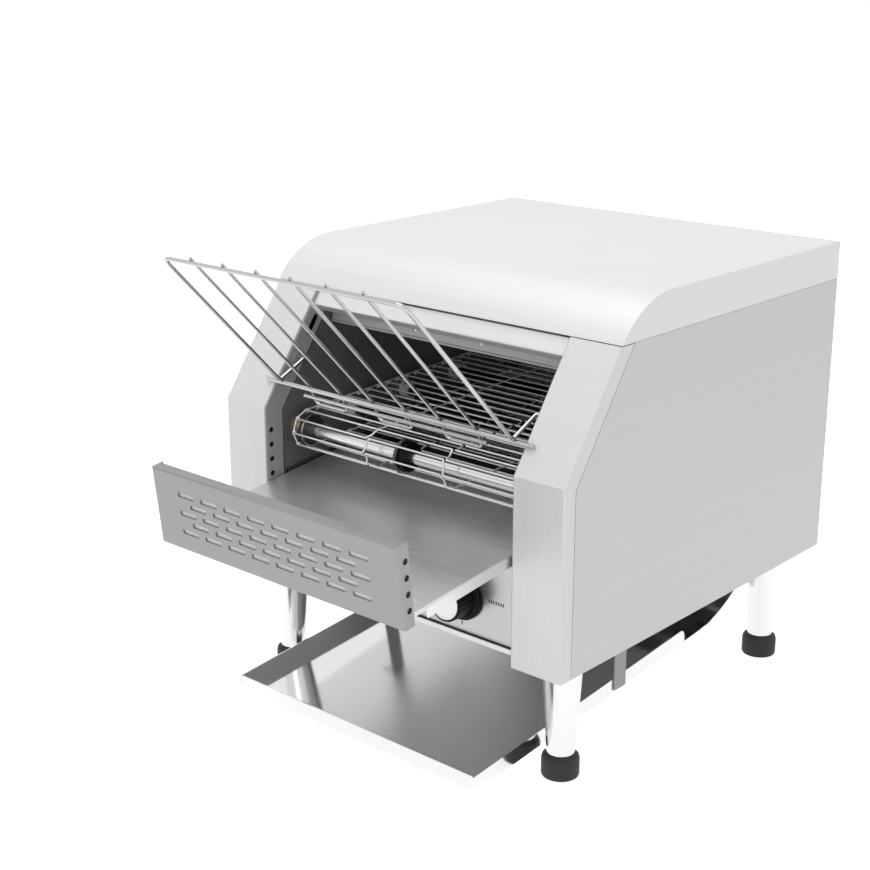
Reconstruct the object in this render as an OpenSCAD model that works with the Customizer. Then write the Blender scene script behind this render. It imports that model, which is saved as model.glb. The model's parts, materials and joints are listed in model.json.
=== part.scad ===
// Conveyor toaster, countertop, 368 mm wide: folded stainless cabinet on four tall legs, wire belt,
// quartz heaters, tilted loading rack, sliding collecting tray and a slide under the cabinet.
// Millimetres. +X is the user's right, +Y runs to the back, +Z is up. The origin is on the ground,
// in the middle of the whole object's width and depth.

/* [Cabinet] */
// Width over both side panels
body_w = 368; // [340:1:420]
// Depth from the front pillars to the rear panel
body_d = 392; // [380:1:460]
// Height of the upright part of the front pillars
front_h = 156; // [150:1:190]
// Backward run of the sloping part of the pillars
slope_run = 66; // [58:1:80]
// Rise of the sloping part of the pillars
slope_rise = 94.5; // [88:0.5:110]
// Height of the hood above the side panels
hood_rise = 33.3; // [24:0.1:45]
// Width of each front pillar
pillar_w = 49; // [44:0.5:56]
// Depth of the pillar's return along the side panel
outer_return = 13; // [9:0.5:18]
// Depth of the pillar's return into the opening
inner_return = 19.5; // [17:0.5:21]
// Thickness of the cabinet sheet
sheet_t = 1.2; // [0.8:0.1:1.5]
// Outside radius of a fold
fold_r = 2; // [1.6:0.1:3]
// Height of the lintel under the hood, along the slope
lintel_h = 15; // [12:0.5:24]
// Setback of the lintel behind the sloping pillar face
lintel_back = 3; // [2.5:0.5:8]
// Depth of inner stiffening flanges
flange = 12; // [8:0.5:16]
// Pitch of the four tray holes in each pillar
tray_hole_pitch = 13; // [11:0.5:15]
// Diameter of the tray holes
tray_hole_d = 5; // [4:0.5:6]

/* [Rear vents] */
// Number of vent slots in a row
vent_count = 9; // [5:1:12]
// Length of a vent slot
vent_len = 22; // [14:1:24]
// Width of a vent slot
vent_w = 4; // [3:0.5:6]
// Height between vent rows
vent_pitch = 11; // [9:0.5:14]

/* [Stand] */
// Height of a leg with its foot
leg_h = 103; // [95:1:130]
// Diameter at the top of a leg
leg_top_d = 33; // [29:0.5:36]
// Diameter at the bottom of a leg
leg_end_d = 23; // [18:0.5:26]
// Diameter of the rubber foot
foot_d = 31; // [27:0.5:34]
// Height of the rubber foot
foot_h = 20; // [14:0.5:24]
// Distance of a leg's axis from the side
leg_in_x = 30; // [24:0.5:31]
// Distance of a leg's axis from the front and the back
leg_in_y = 43; // [38:0.5:60]
// Diameter of the leg's threaded stud
leg_stud_d = 8; // [6:0.5:10]

/* [Belt] */
// Distance between two rungs
belt_pitch = 12.7; // [12.5:0.1:13.2]
// Diameter of the belt wire
belt_wire_d = 2.2; // [1.8:0.1:2.6]
// Gap between the belt and the opening's side
belt_gap = 7; // [6:0.5:15]
// Rungs between the two shafts
run_pitches = 22; // [19:1:22]
// Upward tilt of the belt towards the back, in degrees
belt_tilt = 2.5; // [0:0.5:4]
// Front shaft's distance behind the pillar face
shaft_y = 41; // [40:0.5:44]
// Front shaft's depth below the pillar's bend
shaft_drop = 26; // [23:0.5:28]
// Diameter of the belt shafts
shaft_d = 10; // [8:0.5:12]
// Thickness of a belt sprocket
sprocket_t = 3; // [2:0.5:5]
// Length of the centre roller on the front shaft
roller_w = 4; // [3:0.5:20]
// Middle wheels' distance to the left of the middle
wheel_offset = 10; // [0:0.5:20]

/* [Heaters] */
// Diameter of a quartz tube
tube_d = 12; // [9:0.5:14]
// Distance between quartz tubes
tube_pitch = 70; // [60:1:75]
// Number of tubes above the belt and of tubes inside it
tube_count = 3; // [2:1:3]
// Height of the upper tubes above the pillar's bend
upper_tube_h = 60; // [54:0.5:64]
// Diameter of a tube's ceramic end
ceramic_d = 17; // [16:0.5:19]
// Length of a tube's ceramic end
ceramic_len = 10; // [8:0.5:14]

/* [Drive] */
// Pitch of the drive chain
chain_pitch = 8; // [7.5:0.1:8]
// Chain pitches between motor and rear shaft
chain_run = 15; // [14:1:15]
// Teeth on each chain sprocket
chain_teeth = 12; // [12:4:16]
// Angle of the chain's run from upright, in degrees
chain_lean = 30; // [24:1:36]
// Diameter of the gear motor
motor_d = 52; // [44:1:56]
// Length of the gear motor
motor_len = 58; // [46:1:70]

/* [Tray] */
// Gap between the tray and the opening's side
tray_gap = 1.5; // [1:0.1:4]
// Height of the perforated front
tray_front_h = 67; // [60:0.5:70]
// Depth of the perforated front's folded rim
tray_front_t = 11.5; // [9:0.5:13]
// Length of the tray floor
tray_len = 208; // [190:1:212]
// Depth of the tray's folded sides
tray_lip = 9; // [7:0.5:10]
// Slope of the tray down to the front, in degrees
tray_slope = 6.5; // [5:0.5:7]
// Depth of the tray floor below the pillar's bend, at the pillar face
tray_drop = 65; // [64:0.5:68]
// Length of tray floor that stands out of the cabinet
tray_out = 107; // [98:1:110]
// Inward travel of the tray
tray_travel = 116; // [60:1:118]
// Length of a slot in the tray front
slot_len = 19; // [14:0.5:22]
// Height of a slot in the tray front
slot_h = 4; // [3:0.5:5]
// Distance between slots in a row
slot_pitch = 27; // [25:0.5:29]
// Distance between rows of slots
row_pitch = 8.05; // [7:0.05:9]
// Slots in the longer rows
slot_count = 8; // [5:1:8]

/* [Slide] */
// Setback of the slide's side behind the opening's side
slide_gap = 1; // [1:0.5:7.5]
// Height of the slide's side rims
slide_rim = 12; // [8:0.5:16]
// Slope of the slide down to the front, in degrees
slide_slope = 5.2; // [4.5:0.1:5.5]
// Height of the slide floor above the ground, below the pillar face
slide_z = 15.5; // [14:0.5:20]
// Radius of the slide's curved back
slide_r = 130; // [110:1:135]
// Length of slide in front of the pillar face
slide_out = 40; // [20:1:55]
// Height of the stop at the slide's front end
slide_stop = 12; // [6:0.5:16]

/* [Rack] */
// Tilt of the rack from level, in degrees
rack_tilt = 46; // [42:0.5:52]
// Distance of the crossbar from the pillar's bend, along the slope
rack_seat = 24.6; // [24:0.1:30]
// Length of the rack above its crossbar
rack_len = 173; // [150:0.5:180]
// Distance of a side rod's axis from the opening's side
rack_gap = 8.5; // [6:0.5:12]
// Diameter of the frame rod
frame_rod_d = 3.4; // [3:0.1:4]
// Diameter of the bread wires
wire_d = 2.8; // [2.4:0.1:3.2]
// Diameter of the crossbar that rests on the pillars
cross_d = 4; // [3.6:0.1:4.6]
// Reach of the crossbar over each pillar
cross_reach = 10; // [8:0.5:13]
// Distance between a side rod and the nearest bread wire
wire_edge = 35.5; // [34:0.5:38]
// Shift of all bread wires to the left of the middle
wire_shift = 4; // [0:0.5:6]
// Length of the bread wires' legs below the crossbar
wire_leg = 16.5; // [12:0.5:18]
// Downward bend of the legs, in degrees
leg_bend = 22; // [16:1:24]
// Hinge's distance from the pillar's bend, along the slope
hinge_along = 53.4; // [50:0.1:58]
// Hinge's depth behind the sloping pillar face
hinge_in = 10.6; // [9:0.1:12]
// Inside radius of the frame's top corners
rack_corner_r = 6; // [5:0.5:12]

/* [Controls] */
// Speed knob's distance to the right of the middle
knob_x = 69.5; // [60:0.5:76]
// Knob axis above the bottom of the cabinet
knob_h = 36; // [32:0.5:40]
// Diameter of a knob's skirt
knob_skirt_d = 42; // [36:0.5:46]
// Diameter of a knob's grip
knob_grip_d = 33; // [28:0.5:35]
// Width of the black rim round a knob's disc
knob_rim = 2; // [1:0.5:4]
// Height of a knob off the panel
knob_out = 23; // [18:0.5:26]
// Diameter of a knob's spindle
spindle_d = 6; // [5:0.5:7]
// Width of the speed regulator's body
regulator_w = 34; // [28:1:40]
// Depth of the speed regulator's body
regulator_d = 22; // [16:1:30]
// Height of the speed regulator's body
regulator_h = 30; // [24:1:36]
// Width of the heat switch's body
switch_w = 40; // [30:1:44]
// Depth of the heat switch's body
switch_d = 34; // [24:1:40]
// Height of the heat switch's body
switch_h = 36; // [28:1:40]
// Diameter of the indicator lamp's lens
lamp_d = 10; // [8:0.5:12]

/* [Inlet] */
// Diameter of the cord hole in the gland
gland_bore_d = 8; // [6:0.5:9]
// Diameter of the gland's body
gland_d = 16; // [15:0.5:18]
// Length of the gland behind the rear panel
gland_out = 9; // [7:0.5:14]

/* [Fits] */
// Radial running clearance of shafts and pins
run_fit = 0.05; // [0.02:0.01:0.08]
// Gap between parts that slide or lie against each other
slip = 0.3; // [0.2:0.05:0.4]
// Visible seam between neighbouring sheets
seam = 0.5; // [0.3:0.05:0.6]

/* [Hidden] */
$fn = 48;
eps = 0.01;

half_w = body_w / 2;
inner_x = half_w - pillar_w;
wall_x = inner_x + sheet_t;
opening_w = 2 * inner_x;
belt_w = opening_w - 2 * belt_gap;
tray_w = opening_w - 2 * tray_gap;
slide_w = opening_w - 2 * slide_gap;
rack_w = opening_w - 2 * rack_gap;
cross_len = opening_w + 2 * cross_reach;
bend_z = leg_h + front_h;
shoulder_z = bend_z + slope_rise;
top_z = shoulder_z + hood_rise;
slope_a = atan2(slope_run, slope_rise);
slope_len = norm([slope_run, slope_rise]);
rear_in = body_d - sheet_t;
steel = "silver";
dark_steel = "dimgray";

// Front panel of the controls sits just behind the pillars' inner returns.
panel_y = inner_return + seam;
sill_h = 4;
chamber_y = panel_y + sheet_t + slip;

// Tray frame: its floor's top surface, tilted about X.
tray_rise = tan(tray_slope);
tray_y = -tray_out;
tray_z = bend_z - tray_drop + tray_y * tray_rise;
cover_gap = tray_lip + 5;
panel_top_z = cover_z(panel_y) - sheet_t - slip;
front_end = tray_y - (tray_front_t + slip - fold_r) * cos(tray_slope)
    - (tray_front_h - tray_lip - fold_r) * sin(tray_slope) - fold_r;
rear_end = body_d + gland_out;
y_shift = -(front_end + rear_end) / 2;

// Belt loop: two straight runs and two half turns of four pitches.
sprocket_teeth = 8;
belt_r = belt_pitch / 2 / sin(180 / sprocket_teeth);
run_len = run_pitches * belt_pitch;
front_axis = [shaft_y, bend_z - shaft_drop];
rear_axis = front_axis + run_len * [cos(belt_tilt), sin(belt_tilt)];
turn_pitches = sprocket_teeth / 2;
rung_count = 2 * (run_pitches + turn_pitches);
belt_end = rear_axis[0] + belt_r + belt_wire_d / 2;

// Slide: flat floor, then an arc up to the rear panel.
slide_rise = tan(slide_slope);
slide_back = rear_in - slip - sheet_t;
arc_y = slide_back - slide_r * (1 - sin(slide_slope));
arc_z = slide_z + arc_y * slide_rise;
arc_centre = [slide_back - slide_r, arc_z + slide_r * cos(slide_slope)];
slide_top = leg_h + front_h / 2;
drop_y = belt_end - 38;

// Chain drive beside the right chamber wall.
chain_r = chain_pitch / 2 / sin(180 / chain_teeth);
chain_gap = chain_run * chain_pitch;
motor_axis = rear_axis - chain_gap * [sin(chain_lean), cos(chain_lean)];
chain_x = wall_x + sheet_t + 12;
chain_w = 5;
plate_w = 5.5;

// Rack: positions in the side plane, measured from the pillar's bend.
slope_u = [sin(slope_a), cos(slope_a)];
slope_n = [-cos(slope_a), sin(slope_a)];
bend_p = [0, bend_z];
cross_p = bend_p + rack_seat * slope_u + (cross_d / 2 + slip) * slope_n;
hinge_p = bend_p + hinge_along * slope_u - hinge_in * slope_n;
rack_u = [-cos(rack_tilt), sin(rack_tilt)];
rack_n = [sin(rack_tilt), cos(rack_tilt)];
weld = 0.25;
corner_p = cross_p + ((frame_rod_d + cross_d) / 2 - weld) * rack_u;
top_p = cross_p + rack_len * rack_u;
wire_high = top_p + ((frame_rod_d + wire_d) / 2 - weld) * rack_n;
wire_low = cross_p + ((cross_d + wire_d) / 2 - weld) * rack_n;
wire_u = (wire_high - wire_low) / norm(wire_high - wire_low);
wire_n = [wire_u[1], -wire_u[0]];
wire_top = wire_high + 2 * wire_u;
wire_bend = wire_low - 2.5 * wire_u;
leg_u = -cos(leg_bend) * wire_u - sin(leg_bend) * wire_n;
wire_end = wire_bend + wire_leg * leg_u;
tie_d = wire_d + 0.3;
tie_p = wire_bend + wire_leg / 2 * leg_u + ((wire_d + tie_d) / 2 - weld) * [leg_u[1], -leg_u[0]];
rack_half = rack_w / 2;
wire_pitch = (rack_w - 2 * wire_edge) / 5;
wire_x = [for (i = [-2.5:1:2.5]) i * wire_pitch - wire_shift];
tie_over = 9;

// Heater tubes.
first_tube_y = shaft_y + tube_pitch;
ceramic_x = wall_x - slip;
guard_y = slope_run + 16;
reflector_z = bend_z + upper_tube_h + tube_d / 2 + 9;
neck_d = 9;

// Knobs.
knob_z = leg_h + knob_h;
heat_x = -6;
lamp_x = -72;
panel_back = panel_y + sheet_t;
cap_t = 1.2;
cap_d = knob_grip_d - 2 * knob_rim;

// Place of a rung: upper run, rear turn, lower run, front turn.
rear_turn = run_pitches + turn_pitches;
front_turn = rear_turn + run_pitches;
tooth_angle = 360 / sprocket_teeth;
function belt_point(i) =
    i < run_pitches ? front_axis + rot2([i * belt_pitch, belt_r], belt_tilt)
    : i < rear_turn ? rear_axis + belt_r * dir2(90 + belt_tilt - (i - run_pitches) * tooth_angle)
    : i < front_turn ? rear_axis + rot2([(rear_turn - i) * belt_pitch, -belt_r], belt_tilt)
    : front_axis + belt_r * dir2(270 + belt_tilt - (i - front_turn) * tooth_angle);
function dir2(a) = [cos(a), sin(a)];
function rot2(p, a) = [p[0] * cos(a) - p[1] * sin(a), p[0] * sin(a) + p[1] * cos(a)];
function at(x, p) = [x, p[0], p[1]];

// ---------- shared shapes ----------

// Puts a node that is drawn with the pillar face at y = 0 into the part's frame.
module placed() translate([0, y_shift, 0]) children();

module rod(a, b, d) {
    v = b - a;
    translate(a) rotate([0, acos(v[2] / norm(v)), atan2(v[1], v[0])]) cylinder(d = d, h = norm(v));
}

// Cylinder along X from x0 to x1, at side-plane point p.
module bar(x0, x1, p, d) {
    translate(at(x0, p)) rotate([0, 90, 0]) cylinder(d = d, h = x1 - x0);
}

// Cylinder along Y from y0 to y1.
module peg(x, z, y0, y1, d) {
    translate([x, y0, z]) rotate([-90, 0, 0]) cylinder(d = d, h = y1 - y0);
}

// Extrudes a shape drawn in the side plane (Y, Z) from x0 to x1.
module side_extrude(x0, x1) {
    translate([x0, 0, 0]) rotate([90, 0, 90]) linear_extrude(x1 - x0) children();
}

// Quarter of a fold in the corner at the origin, bending from +X to +Y.
module fold(r = fold_r, t = sheet_t) {
    intersection() {
        translate([r, r]) difference() {
            circle(r);
            circle(r - t);
        }
        square(r);
    }
}

module rounded_slot(l, h, r) {
    square([l - 2 * r, h], center = true);
    square([l, h - 2 * r], center = true);
    for (x = [-1, 1], y = [-1, 1]) translate([x * (l / 2 - r), y * (h / 2 - r)]) circle(r, $fn = 24);
}

module mirrored() {
    children();
    mirror([1, 0, 0]) children();
}

module screw_head(d = 6, h = 2.2) {
    intersection() {
        cylinder(d = d, h = h);
        translate([0, 0, h - d]) sphere(d);
    }
}

// ---------- cabinet ----------

// Outline of a plate that follows the pillars' front line at a given depth behind it.
module side_outline(depth, z0, z1, y1) {
    bend_cut = depth * tan(slope_a / 2);
    top_y = (z1 - bend_z) * tan(slope_a) + depth / cos(slope_a);
    polygon([[depth, z0], [y1, z0], [y1, z1], [top_y, z1], [depth, bend_z - bend_cut]]);
}

module side_panel() {
    color(steel) side_extrude(half_w - sheet_t, half_w)
        side_outline(outer_return + seam, leg_h, shoulder_z, body_d);
}

module left_side_panel() placed() mirror([1, 0, 0]) side_panel();
module right_side_panel() placed() side_panel();

// Pillar section in plan: face, outer return and inner return with round folds.
module pillar_section() {
    translate([inner_x + fold_r, 0]) square([pillar_w - 2 * fold_r, sheet_t]);
    translate([inner_x, 0]) fold();
    translate([half_w, 0]) mirror([1, 0]) fold();
    translate([half_w - sheet_t, fold_r]) square([sheet_t, outer_return - fold_r]);
    translate([inner_x, fold_r]) square([sheet_t, inner_return - fold_r]);
}

module half_space(side) {
    translate([-body_w, 0, bend_z]) rotate([-slope_a / 2, 0, 0])
        translate([0, -body_d, side > 0 ? 0 : -body_d]) cube([2 * body_w, 2 * body_d, body_d]);
}

module front_pillar() {
    reach = fold_r + inner_return;
    color(steel) difference() {
        union() {
            intersection() {
                translate([0, 0, leg_h]) linear_extrude(front_h + reach) pillar_section();
                half_space(-1);
            }
            difference() {
                intersection() {
                    translate([0, 0, bend_z]) rotate([-slope_a, 0, 0]) translate([0, 0, -reach])
                        linear_extrude(slope_len + 3 * reach) pillar_section();
                    half_space(1);
                }
                translate([0, -body_d, shoulder_z - seam]) cube([body_w, 2 * body_d, body_d]);
            }
        }
        // row of tray holes
        for (i = [0:3])
            bar(inner_x - 1, wall_x + 1, [6.5, bend_z - 21.3 - i * tray_hole_pitch], tray_hole_d);
        // rack hinge hole and lifting slot in the sloping return
        bar(inner_x - 1, wall_x + 1, hinge_p, frame_rod_d + 2 * run_fit);
        translate([inner_x - 1, 0, bend_z]) rotate([-slope_a, 0, 0]) rotate([90, 0, 90])
            translate([inner_return - lift_slot_edge, hinge_along + lift_slot_rise])
                linear_extrude(sheet_t + 2) rotate(90) rounded_slot(20, 6, 2.9);
    }
}

module left_front_pillar() placed() mirror([1, 0, 0]) front_pillar();
module right_front_pillar() placed() front_pillar();

hood_z = shoulder_z;
lift_slot_edge = 7.5;
lift_slot_rise = 30.6;
hood_sweep = 90 - slope_a;
hood_r = (hood_rise - seam / 2) / (1 - cos(hood_sweep));
hood_flat_y = slope_run + hood_r * sin(hood_sweep);
hood_centre = [hood_flat_y, top_z - hood_r];

// Area under the hood's outer line, less a margin t on the curve, the top and the back.
module hood_area(t, z0) {
    intersection() {
        translate(hood_centre) circle(hood_r - t, $fn = 180);
        translate([slope_run - 1, z0]) square([hood_flat_y - slope_run + 1, hood_rise]);
    }
    translate([hood_flat_y, z0]) square([body_d - t - hood_flat_y, top_z - t - z0]);
}

// Folded skin with closed ends, open below, with a turned-in lip at the front.
module hood() placed() {
    lip_z = hood_z + seam / 2;
    color(steel) difference() {
        side_extrude(-half_w, half_w) hood_area(0, lip_z);
        difference() {
            side_extrude(sheet_t - half_w, half_w - sheet_t) hood_area(sheet_t, lip_z - 1);
            translate([-half_w, 0, lip_z - 2]) cube([body_w, slope_run + flange, sheet_t + 2]);
        }
    }
}

module front_lintel() placed() {
    s0 = slope_len - lintel_h - seam;
    color(steel) side_extrude(-inner_x + slip, inner_x - slip) translate(bend_p) rotate(-slope_a) {
        translate([lintel_back, s0 + fold_r]) square([sheet_t, lintel_h - fold_r]);
        translate([lintel_back, s0]) fold();
        translate([lintel_back + fold_r, s0]) square([flange - fold_r, sheet_t]);
    }
}

module control_panel() placed() {
    x1 = wall_x - slip;
    color(steel) difference() {
        side_extrude(-x1, x1) {
            z0 = leg_h + sill_h + seam;
            translate([panel_y, z0]) square([sheet_t, panel_top_z - z0 - fold_r]);
            translate([panel_y, panel_top_z]) mirror([0, 1]) fold();
            translate([panel_y + fold_r, panel_top_z - sheet_t]) square([flange - fold_r, sheet_t]);
        }
        for (x = [knob_x, heat_x]) peg(x, knob_z, panel_y - 1, panel_back + 1, spindle_d + 2);
        peg(lamp_x, knob_z, panel_y - 1, panel_back + 1, lamp_d + 2 * slip);
    }
}

module base_plate() placed() {
    x1 = half_w - sheet_t - slip;
    y0 = panel_y - 3;
    color(steel) difference() {
        union() {
            translate([-x1, panel_back + slip, leg_h])
                cube([2 * x1, rear_in - slip - panel_back - slip, sheet_t]);
            translate([-wall_x + slip, y0, leg_h]) cube([2 * (wall_x - slip), 8, sheet_t]);
            translate([-wall_x + slip, y0, leg_h]) cube([2 * (wall_x - slip), sheet_t, sill_h]);
            mirrored() translate([x1 - sheet_t, chamber_y, leg_h])
                cube([sheet_t, rear_in - slip - chamber_y, flange]);
        }
        translate([-wall_x + slip, drop_y, leg_h - 1])
            cube([2 * (wall_x - slip), body_d - drop_y, flange + 2]);
        for (x = [-1, 1], y = [leg_in_y, body_d - leg_in_y])
            translate([x * (half_w - leg_in_x), y, leg_h - 1]) cylinder(d = leg_stud_d + slip, h = flange);
    }
}

module rear_panel() placed() {
    x1 = half_w - sheet_t - slip;
    z0 = leg_h + sheet_t + slip;
    vent_z = shoulder_z - 40;
    color(steel) difference() {
        union() {
            translate([-x1, rear_in, z0]) cube([2 * x1, sheet_t, shoulder_z - slip - z0]);
            mirrored() translate([x1 - sheet_t, rear_in - flange, z0 + flange])
                cube([sheet_t, flange + eps, shoulder_z - slip - z0 - flange]);
        }
        for (r = [0:3], i = [0:vent_count - 1])
            translate([(i - (vent_count - 1) / 2) * (vent_len + 8), body_d + 1, vent_z - r * vent_pitch])
                rotate([90, 0, 0]) linear_extrude(sheet_t + 2)
                    rounded_slot(vent_len, vent_w, vent_w / 2 - 0.1);
        peg(gland_x, gland_z, rear_in - 1, body_d + 1, gland_thread_d + slip);
    }
}

chamber_top = shoulder_z - seam;

module chamber_wall() {
    z0 = leg_h + sheet_t;
    y1 = rear_in - slip;
    color(dark_steel) difference() {
        union() {
            side_extrude(wall_x, wall_x + sheet_t) side_outline(chamber_y, z0, chamber_top, y1);
            translate([wall_x, chamber_y + fold_r, z0]) cube([flange, y1 - chamber_y - fold_r, sheet_t]);
        }
        for (p = [front_axis, rear_axis]) bar(wall_x - 1, wall_x + flange, p, bush_d);
        for (p = concat(upper_tubes, lower_tubes)) bar(wall_x - 1, wall_x + flange, p, neck_d + 2 * slip);
        translate([wall_x - 1, leg_in_y - 8, z0 - 1]) cube([flange + 2, 16, sheet_t + 2]);
        translate([wall_x - 1, body_d - leg_in_y - 8, z0 - 1]) cube([flange + 2, 16, sheet_t + 2]);
    }
}

module left_chamber_wall() placed() mirror([1, 0, 0]) chamber_wall();
module right_chamber_wall() placed() color(dark_steel) difference() {
    chamber_wall();
    bar(wall_x - 1, wall_x + flange, motor_axis, motor_boss_d + 2 * slip);
}

module heat_guard() placed() {
    x1 = inner_x - slip;
    z0 = guard_z;
    color(steel) difference() {
        side_extrude(-x1, x1) {
            translate([guard_y, z0]) square([sheet_t, shoulder_z - 3 - z0]);
            translate([guard_y, z0]) circle(d = 2.4, $fn = 24);
        }
        for (x = [-guard_screw_x, guard_screw_x]) peg(x, guard_screw_z, guard_y - 3, guard_y + 3, 3.2);
    }
}

guard_z = bend_z + upper_tube_h + 2;
guard_screw_x = 36;
guard_screw_z = guard_z + 8;

module upper_reflector() placed() {
    x1 = inner_x - slip;
    y0 = guard_y + sheet_t + slip;
    y1 = last_tube_y + 38;
    color(steel) side_extrude(-x1, x1) {
        translate([y0, reflector_z]) square([y1 - y0, sheet_t]);
        translate([y0, reflector_z]) square([sheet_t, flange]);
        translate([y1 - sheet_t, reflector_z - flange]) square([sheet_t, flange]);
    }
}

// Cover of the wiring space: slopes with the tray, then turns down to the base plate.
module compartment_cover() placed() {
    x1 = wall_x - slip;
    color(dark_steel) difference() {
        union() {
            side_extrude(-x1, x1) polygon([
                [panel_back + slip, cover_z(panel_back + slip)],
                [drop_y, cover_z(drop_y)],
                [drop_y, cover_z(drop_y) - sheet_t],
                [panel_back + slip, cover_z(panel_back + slip) - sheet_t]]);
            translate([-x1, drop_y - sheet_t - slip, leg_h + sheet_t + slip])
                cube([2 * x1, sheet_t, cover_z(drop_y) - sheet_t / 2 - leg_h - sheet_t - slip]);
        }
    }
}
function cover_z(y) = bend_z - tray_drop - cover_gap / cos(tray_slope) + y * tray_rise;

// ---------- heaters ----------

last_tube_y = first_tube_y + (tube_count - 1) * tube_pitch;
upper_tubes = [for (i = [0:tube_count - 1]) [first_tube_y + i * tube_pitch, bend_z + upper_tube_h]];
lower_tubes = [for (i = [0:tube_count - 1]) let(d = first_tube_y - 5 + i * tube_pitch - shaft_y)
    front_axis + [d, d * tan(belt_tilt)]];
tube_x = ceramic_x - ceramic_len + 6;

module tubes(points) {
    color("gainsboro") for (p = points) difference() {
        bar(-tube_x, tube_x, p, tube_d);
        bar(-tube_x - 1, tube_x + 1, p, tube_d - 2.4);
    }
}

module upper_heater_tubes() placed() tubes(upper_tubes);
module lower_heater_tubes() placed() tubes(lower_tubes);

module ceramic_ends() placed() {
    color("ivory") for (p = concat(upper_tubes, lower_tubes)) mirrored() difference() {
        union() {
            bar(ceramic_x - ceramic_len, ceramic_x, p, ceramic_d);
            bar(ceramic_x - eps, wall_x + sheet_t + 12, p, neck_d);
        }
        bar(ceramic_x - ceramic_len - 1, tube_x + slip, p, tube_d + 2 * slip);
    }
}

// ---------- belt and shafts ----------

bush_d = shaft_d + 6;
bush_flange_d = shaft_d + 12;

module shaft_bushes() placed() {
    color("goldenrod") for (p = [front_axis, rear_axis]) mirrored() difference() {
        union() {
            bar(wall_x - 2, wall_x - slip / 2, p, bush_flange_d);
            bar(wall_x - slip / 2 - eps, wall_x + sheet_t + 4, p, bush_d - slip);
        }
        bar(wall_x - 3, wall_x + sheet_t + 5, p, shaft_d + 2 * run_fit);
    }
}

module front_shaft() placed() {
    x1 = wall_x + sheet_t + 7;
    color(steel) bar(-x1, x1, front_axis, shaft_d);
}

module rear_shaft() placed() {
    color(steel) {
        bar(-wall_x - sheet_t - 7, chain_x + chain_w, rear_axis, shaft_d);
    }
}

sprocket_x = [-belt_w / 2 + 7, -wheel_offset, belt_w / 2 - 7];
hub_len = 3;

// A wheel turns clear of the standing belt or chain by this much, with notches this deep in its rim.
wheel_gap = 0.3;
notch_depth = 0.4;

// Disc with a notch for each rung, centred on the X axis through p.
module belt_sprocket(x, p) {
    gap = belt_wire_d / 2 + wheel_gap;
    difference() {
        bar(x - sprocket_t / 2, x + sprocket_t / 2, p, 2 * (belt_r - gap));
        for (i = [0:sprocket_teeth - 1])
            bar(x - sprocket_t, x + sprocket_t,
                p + belt_r * dir2(90 + belt_tilt - i * tooth_angle), 2 * (gap + notch_depth));
        bar(x - sprocket_t, x + sprocket_t, p, shaft_d);
    }
}

module sprocket_set(p) {
    color(steel) for (x = sprocket_x) {
        belt_sprocket(x, p);
        x0 = x > 0 ? x + sprocket_t / 2 - eps : x - sprocket_t / 2 - hub_len;
        difference() {
            bar(x0, x0 + hub_len + eps, p, shaft_d + 6);
            bar(x0 - 1, x0 + hub_len + 1, p, shaft_d);
        }
    }
}

module front_sprockets() placed() sprocket_set(front_axis);
module rear_sprockets() placed() sprocket_set(rear_axis);

module centre_roller() placed() {
    x0 = sprocket_t / 2 - wheel_offset + slip;
    color("black") difference() {
        bar(x0, x0 + roller_w, front_axis, 2 * (belt_r - belt_wire_d / 2) - 6);
        bar(x0 - 1, x0 + roller_w + 1, front_axis, shaft_d);
    }
}

link_x = belt_w / 2 - belt_wire_d;

// Depth that a link's end runs into its rung.
link_bite = 0.02;

module belt_rungs() placed() {
    color("lightgray") for (i = [0:rung_count - 1])
        bar(-belt_w / 2, belt_w / 2, belt_point(i), belt_wire_d);
}

// Links from rung to rung: two at the edges and one near each third, in turn left and right.
module belt_links() placed() {
    color("lightgray") for (i = [0:rung_count - 1]) {
        p = belt_point(i);
        q = belt_point((i + 1) % rung_count);
        bite = (belt_wire_d / 2 - link_bite) * (q - p) / norm(q - p);
        turn = i % 2 == 0 ? 2 : -2;
        for (x = [-link_x, turn - link_x / 3, turn + link_x / 3, link_x])
            rod(at(x, p + bite), at(x, q - bite), belt_wire_d);
    }
}

// ---------- drive ----------

roller_d = chain_pitch * 0.42;

module chain_sprocket(p, bore_d) {
    gap = roller_d / 2 + wheel_gap;
    difference() {
        union() {
            bar(chain_x - 1.2, chain_x + 1.2, p, 2 * (chain_r - gap));
            bar(chain_x + 1.2 - eps, chain_x + chain_w, p, bore_d + 8);
        }
        for (i = [0:chain_teeth - 1])
            bar(chain_x - 2, chain_x + 1.2 + eps,
                p + chain_r * dir2(-chain_lean + i * 360 / chain_teeth), 2 * (gap + notch_depth));
        bar(chain_x - 3, chain_x + chain_w + 1, p, bore_d);
    }
}

motor_shaft_d = 7;
motor_boss_d = 18;
gear_w = 20;
motor_x = wall_x - 8 - slip;

module drive_sprocket() placed() color(steel) chain_sprocket(rear_axis, shaft_d);
module motor_sprocket() placed() color(steel) chain_sprocket(motor_axis, motor_shaft_d);

module motor_shaft() placed() {
    color(steel) bar(motor_x - gear_w / 2 + slip, chain_x + chain_w + 2, motor_axis, motor_shaft_d);
}

function chain_point(i) =
    let(a = -chain_lean, n = chain_teeth / 2, u = [sin(chain_lean), cos(chain_lean)])
    i < chain_run ? motor_axis + i * chain_pitch * u + chain_r * dir2(a)
    : i < chain_run + n ? rear_axis + chain_r * dir2(a + (i - chain_run) * 360 / chain_teeth)
    : i < 2 * chain_run + n ? rear_axis - (i - chain_run - n) * chain_pitch * u - chain_r * dir2(a)
    : motor_axis + chain_r * dir2(a + 180 + (i - 2 * chain_run - n) * 360 / chain_teeth);

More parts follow.
